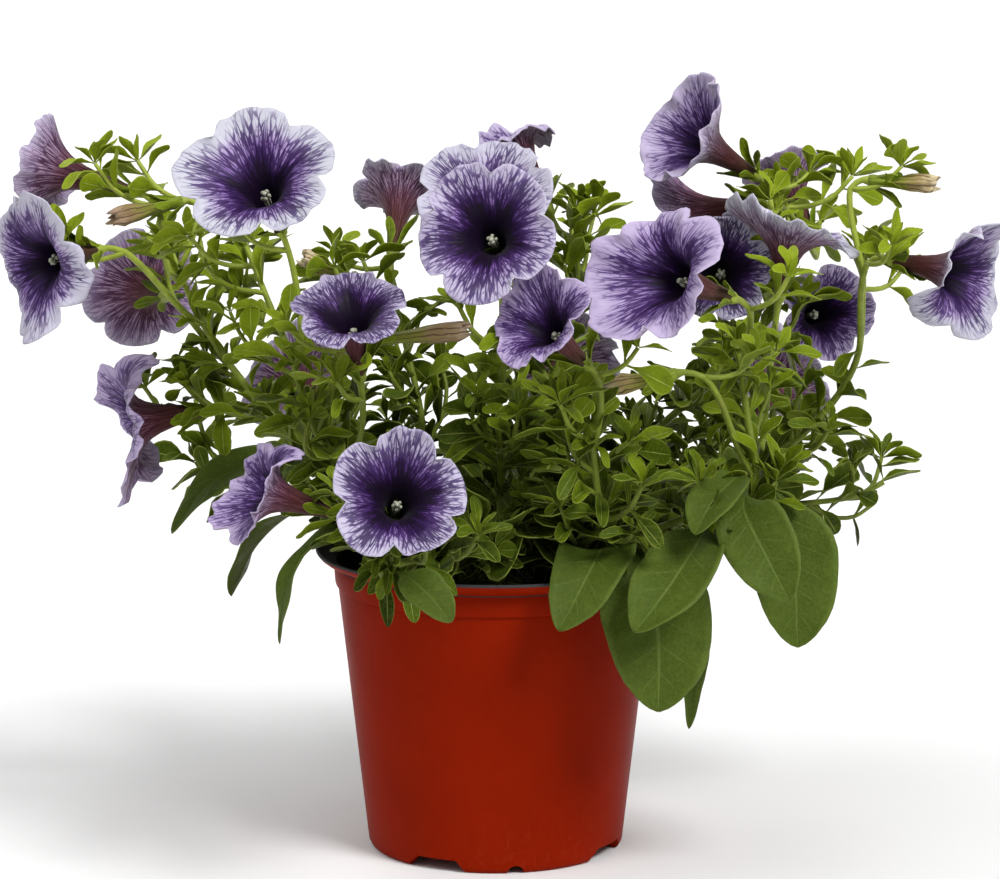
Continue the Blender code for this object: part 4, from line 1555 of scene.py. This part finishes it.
# %% Room for a leaf
# Spans of x and z where the plant is open between its arching stems.
GAPS = [
    ((-0.140, -0.117), (0.188, 0.208)),
    ((-0.052, -0.019), (0.206, 0.226)),
    ((-0.036, 0.000), (0.194, 0.206)),
    ((-0.125, -0.104), (0.148, 0.163)),
    ((-0.120, -0.100), (0.226, 0.240)),
    ((0.140, 0.160), (0.090, 0.150)),
    ((-0.098, -0.080), (0.128, 0.150)),
]


def has_room(place, beside_flowers=False):
    if place.z < 0.113:
        r = math.hypot(place.x, place.y)
        if place.z < 0.1005 or 0.053 < r < 0.068:
            return False
    low, high = CAD_BOX
    if any(place[k] < low[k] - 0.004 or place[k] > high[k] + 0.004 for k in range(3)):
        return beside_flowers and place.y > low.y - 0.014
    reach = 0.012 if beside_flowers else 0.045
    share = 0.75 if beside_flowers else 1.04
    for bloom in BLOOMS.values():
        ahead = place - bloom["base"]
        depth = ahead.dot(bloom["axis"])
        out = (ahead - bloom["axis"] * depth).length
        if 0.5 * bloom["depth"] < depth < bloom["depth"] + reach and out < bloom["radius"] * share:
            return False
    if beside_flowers:
        return True
    return not any(x[0] < place.x < x[1] and z[0] < place.z < z[1] for x, z in GAPS)


def try_leaf(bunch, base, direction, length, width, chance, tone_shift=0.0, beside_flowers=False):
    for attempt in range(3):
        tip = base + direction.normalized() * length
        if has_room(tip, beside_flowers) and has_room(base.lerp(tip, 0.6), beside_flowers):
            up = (
                Vector((0, 0, 1))
                + Vector((base.x, base.y, 0)).normalized() * 0.35
                - Vector((0, 0.35, 0)) * (1 if base.y < 0 else -1)
            )
            tone_and_painted_light = max(0.0, min(1.0, tone_and_painted_light_at(tip) + tone_shift + chance.uniform(-0.16, 0.16)))
            bunch.append(put_leaf(chance.choice(LEAF_KINDS), base, direction, up, length, width, tone_and_painted_light, 4.0))
            return
        direction = (
            direction
            + Vector((chance.uniform(-0.8, 0.8), chance.uniform(-0.8, 0.8), chance.uniform(-0.2, 0.8)))
        )
        length *= 0.85

# %% [markdown]
# ## Leafy stems, rosettes and side shoots
# Leaves sit in pairs along each stem, each pair turned from the last, and crowd into a rosette at
# the tip. Short side shoots with their own pairs fill the plant out, as they do on the real one.


# %% Dress a route with leaves
def dress(bunch, route, start, gap, size, chance, beside_flowers=False):
    travelled = 0.0
    turn = chance.uniform(0, math.tau)
    total = sum((b - a).length for a, b in zip(route, route[1:]))
    following = start * total
    for a, b in zip(route, route[1:]):
        heading = (b - a).normalized()
        travelled += (b - a).length
        if travelled < following:
            continue
        following = travelled + gap * chance.uniform(0.8, 1.3)
        turn += chance.uniform(1.1, 1.9)
        side = Matrix.Rotation(turn, 3, heading) @ heading.orthogonal().normalized()
        for sign in (1, -1):
            lean = math.radians(chance.uniform(38, 72))
            direction = heading * math.cos(lean) + side * math.sin(lean) * sign
            length = size * chance.uniform(0.75, 1.2)
            try_leaf(
                bunch,
                b + side * sign * 0.6 * MM,
                direction,
                length,
                length * chance.uniform(0.24, 0.34),
                chance,
                0.0,
                beside_flowers,
            )


def rosette(bunch, place, heading, count, size, chance, spread=(18, 75), beside_flowers=False):
    for k in range(count):
        turn = 2.4 * k + chance.uniform(-0.3, 0.3)
        side = Matrix.Rotation(turn, 3, heading) @ heading.orthogonal().normalized()
        lean = math.radians(spread[0] + (spread[1] - spread[0]) * (k + 0.5) / count)
        direction = heading * math.cos(lean) + side * math.sin(lean)
        length = size * chance.uniform(0.7, 1.1) * (0.6 + 0.4 * (k + 1) / count)
        try_leaf(
            bunch,
            place + direction * 0.5 * MM,
            direction,
            length,
            length * chance.uniform(0.24, 0.34),
            chance,
            0.06,
            beside_flowers,
        )


def side_shoot(bunch, start, heading, length, size, chance):
    bend = Vector((chance.uniform(-0.4, 0.4), chance.uniform(-0.4, 0.4), chance.uniform(0.2, 0.9)))
    first = heading.normalized()
    points = [
        start,
        start + first * length * 0.4,
        start + (first + bend * 0.4).normalized() * length * 0.72,
        start + (first + bend).normalized() * length,
    ]
    if not all(has_room(p) for p in points[1:]):
        return
    route = smooth_route(points, 3.0 * MM)
    shoot = tube_along("shoot", route, list(np.linspace(1.05 * MM, 0.65 * MM, len(route))), stem_skin, 1)
    tint(shoot, "tone_and_painted_light", [tone_and_painted_light_at(v.co) for v in shoot.data.vertices])
    bunch.append(shoot)
    dress(bunch, route, 0.25, 7.5 * MM, size, chance)
    rosette(bunch, route[-1], (route[-1] - route[-2]).normalized(), 6, size * 0.9, chance)

# %% [markdown]
# ## Foliage on the stems
# Pairs of leaves along the stem, a rosette at its tip, and eight side shoots with leaves of their own.
# Each stem has its own seed, so the stems differ and the plant is the same every time.

# %% Leaves for every stem
total = 0
for number, node in enumerate(STEMS):
    route = ROUTES[node]
    chance = random.Random(500 + number)
    bunch = []
    dress(bunch, route, 0.22, 8.5 * MM, 18.0 * MM, chance)
    tip_heading = (route[-1] - route[-3]).normalized()
    rosette(bunch, route[-1], tip_heading, 9, 16.0 * MM, chance)
    for share in (0.15, 0.27, 0.38, 0.48, 0.58, 0.68, 0.78, 0.88):
        spot = route[int(share * (len(route) - 1))]
        heading = (route[int(share * (len(route) - 1)) + 1] - spot).normalized()
        outward = Vector((spot.x, spot.y, 0.0)).normalized()
        side = Matrix.Rotation(chance.uniform(0, math.tau), 3, heading) @ heading.orthogonal().normalized()
        direction = side * 0.9 + heading * 0.5 + outward * 0.3 + Vector((0, 0, 0.25))
        side_shoot(bunch, spot, direction, chance.uniform(16, 34) * MM, chance.uniform(13, 18) * MM, chance)
    # Older, broader leaves low on the stem.
    for share in (0.12, 0.24, 0.36, 0.48, 0.6):
        spot = route[int(share * (len(route) - 1))]
        turn = chance.uniform(0, math.tau)
        for flip in (0.0, math.pi):
            outward = Vector((math.cos(turn + flip), math.sin(turn + flip), chance.uniform(0.1, 0.6)))
            length = chance.uniform(20, 27) * MM
            try_leaf(bunch, spot, outward, length, length * chance.uniform(0.36, 0.44), chance, -0.08)
    foliage = joined(node.replace("stem", "foliage"), bunch)
    settle(foliage)
    hand_over(foliage, "leaf_green")
    total += len(bunch)
print("small leaves and shoots", total)

# %% [markdown]
# ## Leaves at the foot of each flower stalk
# Every flower stalk starts from a leaf axil, with a few small leaves around it.

# %% Axil leaves
bunch = []
for number, (node, bloom) in enumerate(BLOOMS.items()):
    chance = random.Random(900 + number)
    heading = (bloom["stalk"][1] - bloom["stalk"][0]).normalized()
    rosette(bunch, bloom["stalk"][0], heading, 5, 16.0 * MM, chance, (25, 85))
axils = joined("foliage_axils", bunch)
settle(axils)
hand_over(axils, "leaf_green")
print("axil leaves", len(axils.data.polygons), "faces")

# %% [markdown]
# ## Young shoots
# A petunia keeps sending out short, bright shoots near the ends of its stems, so the top of the
# plant is full of them and they partly hide the flowers. They could be placed one by one, but a
# rule grows them as the plant does: a stem carries two, and a flower stalk or bud carries one. Each
# leans away from the middle of the plant, rises a little and ends in a rosette.

# %% Young shoots
STEM_SHARES = (0.55, 0.95)
STALK_SHARES = (0.85,)
SHOOT_REACH = (16, 30)
SHOOT_SWING = 75.0
SHOOT_LEAVES = 7
SHOOT_TOP = 255.0 * MM


def shoot_end(start, chance):
    outward = Vector((start.x, start.y, 0.0)).normalized()
    turn = math.radians(chance.uniform(-SHOOT_SWING, SHOOT_SWING))
    outward = Matrix.Rotation(turn, 3, "Z") @ outward
    heading = (outward + Vector((0.0, 0.0, chance.uniform(0.2, 0.9)))).normalized()
    tip = start + heading * chance.uniform(*SHOOT_REACH) * MM
    tip.z = min(tip.z, max(SHOOT_TOP, start.z))
    return tip


bunch = []
shoot_count = 0
for number, stalk in enumerate(sorted(ROUTES)):
    chance = random.Random(1200 + number)
    path = ROUTES[stalk]
    for share in STEM_SHARES if stalk.startswith("stem") else STALK_SHARES:
        start = path[int(share * (len(path) - 1))]
        tip = shoot_end(start, chance)
        sag = Vector((0.0, 0.0, -0.16 * (tip - start).length))
        bends = [start, start.lerp(tip, 0.35) + sag * 0.8, start.lerp(tip, 0.7) + sag, tip]
        route = smooth_route(bends, 3.0 * MM)
        radii = list(np.linspace(1.1 * MM, 0.8 * MM, len(route)))
        shoot = tube_along("shoot", route, radii, stem_skin, 1)
        tint(shoot, "tone_and_painted_light", [tone_and_painted_light_at(v.co) for v in shoot.data.vertices])
        bunch.append(shoot)
        size = chance.uniform(14, 18) * MM
        dress(bunch, route, 0.5, 8.0 * MM, size, chance, True)
        heading = (tip - route[-3]).normalized() + Vector((0.0, 0.0, 0.8))
        rosette(bunch, tip, heading.normalized(), SHOOT_LEAVES, size, chance, (10, 85), True)
        shoot_count += 1
shoots = joined("foliage_shoots", bunch)
settle(shoots)
hand_over(shoots, "leaf_green")
print("young shoots", shoot_count, "with", len(bunch), "parts")

# %% [markdown]
# ## The dark crown
# Down in the middle, where the stems leave the soil, broader leaves overlap in deep shade and
# lean out over the lip all round.

# %% Crown leaves
bunch = []
chance = random.Random(77)
for k in range(64):
    turn = 2.4 * k
    radius = (12 + 40 * math.sqrt(k / 64)) * MM
    foot = Vector(
        (radius * 0.75 * math.cos(turn), radius * 0.75 * math.sin(turn), (103 + 24 * chance.random()) * MM)
    )
    outward = Vector((math.cos(turn), math.sin(turn), 0.0))
    direction = (
        outward + Vector((chance.uniform(-0.4, 0.4), chance.uniform(-0.4, 0.4), chance.uniform(0.1, 0.9)))
    )
    length = chance.uniform(24, 36) * MM
    try_leaf(bunch, foot, direction, length, length * chance.uniform(0.42, 0.55), chance, 0.05)
for k in range(16):
    turn = math.tau * (k + chance.uniform(-0.3, 0.3)) / 16
    outward = Vector((math.cos(turn), math.sin(turn), 0.0))
    foot = outward * chance.uniform(28, 38) * MM + Vector((0, 0, chance.uniform(112, 119) * MM))
    direction = (
        outward
        + Vector((chance.uniform(-0.25, 0.25), chance.uniform(-0.25, 0.25), chance.uniform(0.08, 0.3)))
    )
    length = chance.uniform(28, 38) * MM
    try_leaf(bunch, foot, direction, length, length * chance.uniform(0.4, 0.5), chance, 0.0)
crown = joined("foliage_crown", bunch)
settle(crown)
hand_over(crown, "leaf_green")
for kind in LEAF_KINDS + [SEPAL]:
    bpy.data.objects.remove(kind, do_unlink=True)
print("crown leaves", len(bunch))

# %% [markdown]
# ## Floor, light and camera
# A pale floor, one large soft light from above and to the right, a weaker one from the left, and
# a bright even surround, as in a plain product studio. The camera stands about two metres off with
# a long lens, a little above the plant.

# %% Studio
clear_selection()
bpy.ops.mesh.primitive_plane_add(size=24.0, location=(0.0, 0.0, 0.0))
floor = bpy.context.object
floor.name = "studio_floor"
floor_finish, tree, shader = new_finish("floor_pale", Roughness=0.9)
shader.inputs["Base Color"].default_value = (0.78, 0.78, 0.78, 1.0)
floor.data.materials.append(floor_finish)


def soft_light(name, place, size, power):
    clear_selection()
    bpy.ops.object.light_add(type="AREA", location=place)
    lamp = bpy.context.object
    lamp.name = name
    lamp.data.size = size
    lamp.data.energy = power
    lamp.rotation_euler = (Vector((0.0, 0.0, 0.15)) - Vector(place)).to_track_quat("-Z", "Y").to_euler()


def sun(name, turn, height, strength, softness):
    clear_selection()
    bpy.ops.object.light_add(type="SUN", location=(0.0, 0.0, 2.0))
    lamp = bpy.context.object
    lamp.name = name
    lamp.data.energy = strength
    lamp.data.angle = math.radians(softness)
    lamp.rotation_euler = (math.radians(90 - height), 0.0, math.radians(turn))


sun("key_light", 42.0, 48.0, 2.8, 22.0)
sun("fill_light", -55.0, 60.0, 1.1, 50.0)
soft_light("back_light", (-0.7, 1.5, 1.3), 1.0, 9.0)
world = bpy.data.worlds.new("studio")
world.use_nodes = True
world.node_tree.nodes["Background"].inputs["Color"].default_value = (1.0, 1.0, 1.0, 1.0)
world.node_tree.nodes["Background"].inputs["Strength"].default_value = 0.38
bpy.context.scene.world = world
bpy.context.scene.view_settings.view_transform = "Standard"

bpy.ops.object.camera_add(location=(0.0, -1.94, 0.538))
camera = bpy.context.object
camera.data.sensor_width = 36.0
camera.data.lens = 198.1
camera.rotation_euler = (math.radians(90.0 - 11.338), 0.0, math.radians(-0.047))
camera.data.clip_start = 0.05
bpy.context.scene.camera = camera
print("camera at", [round(v, 3) for v in camera.location])
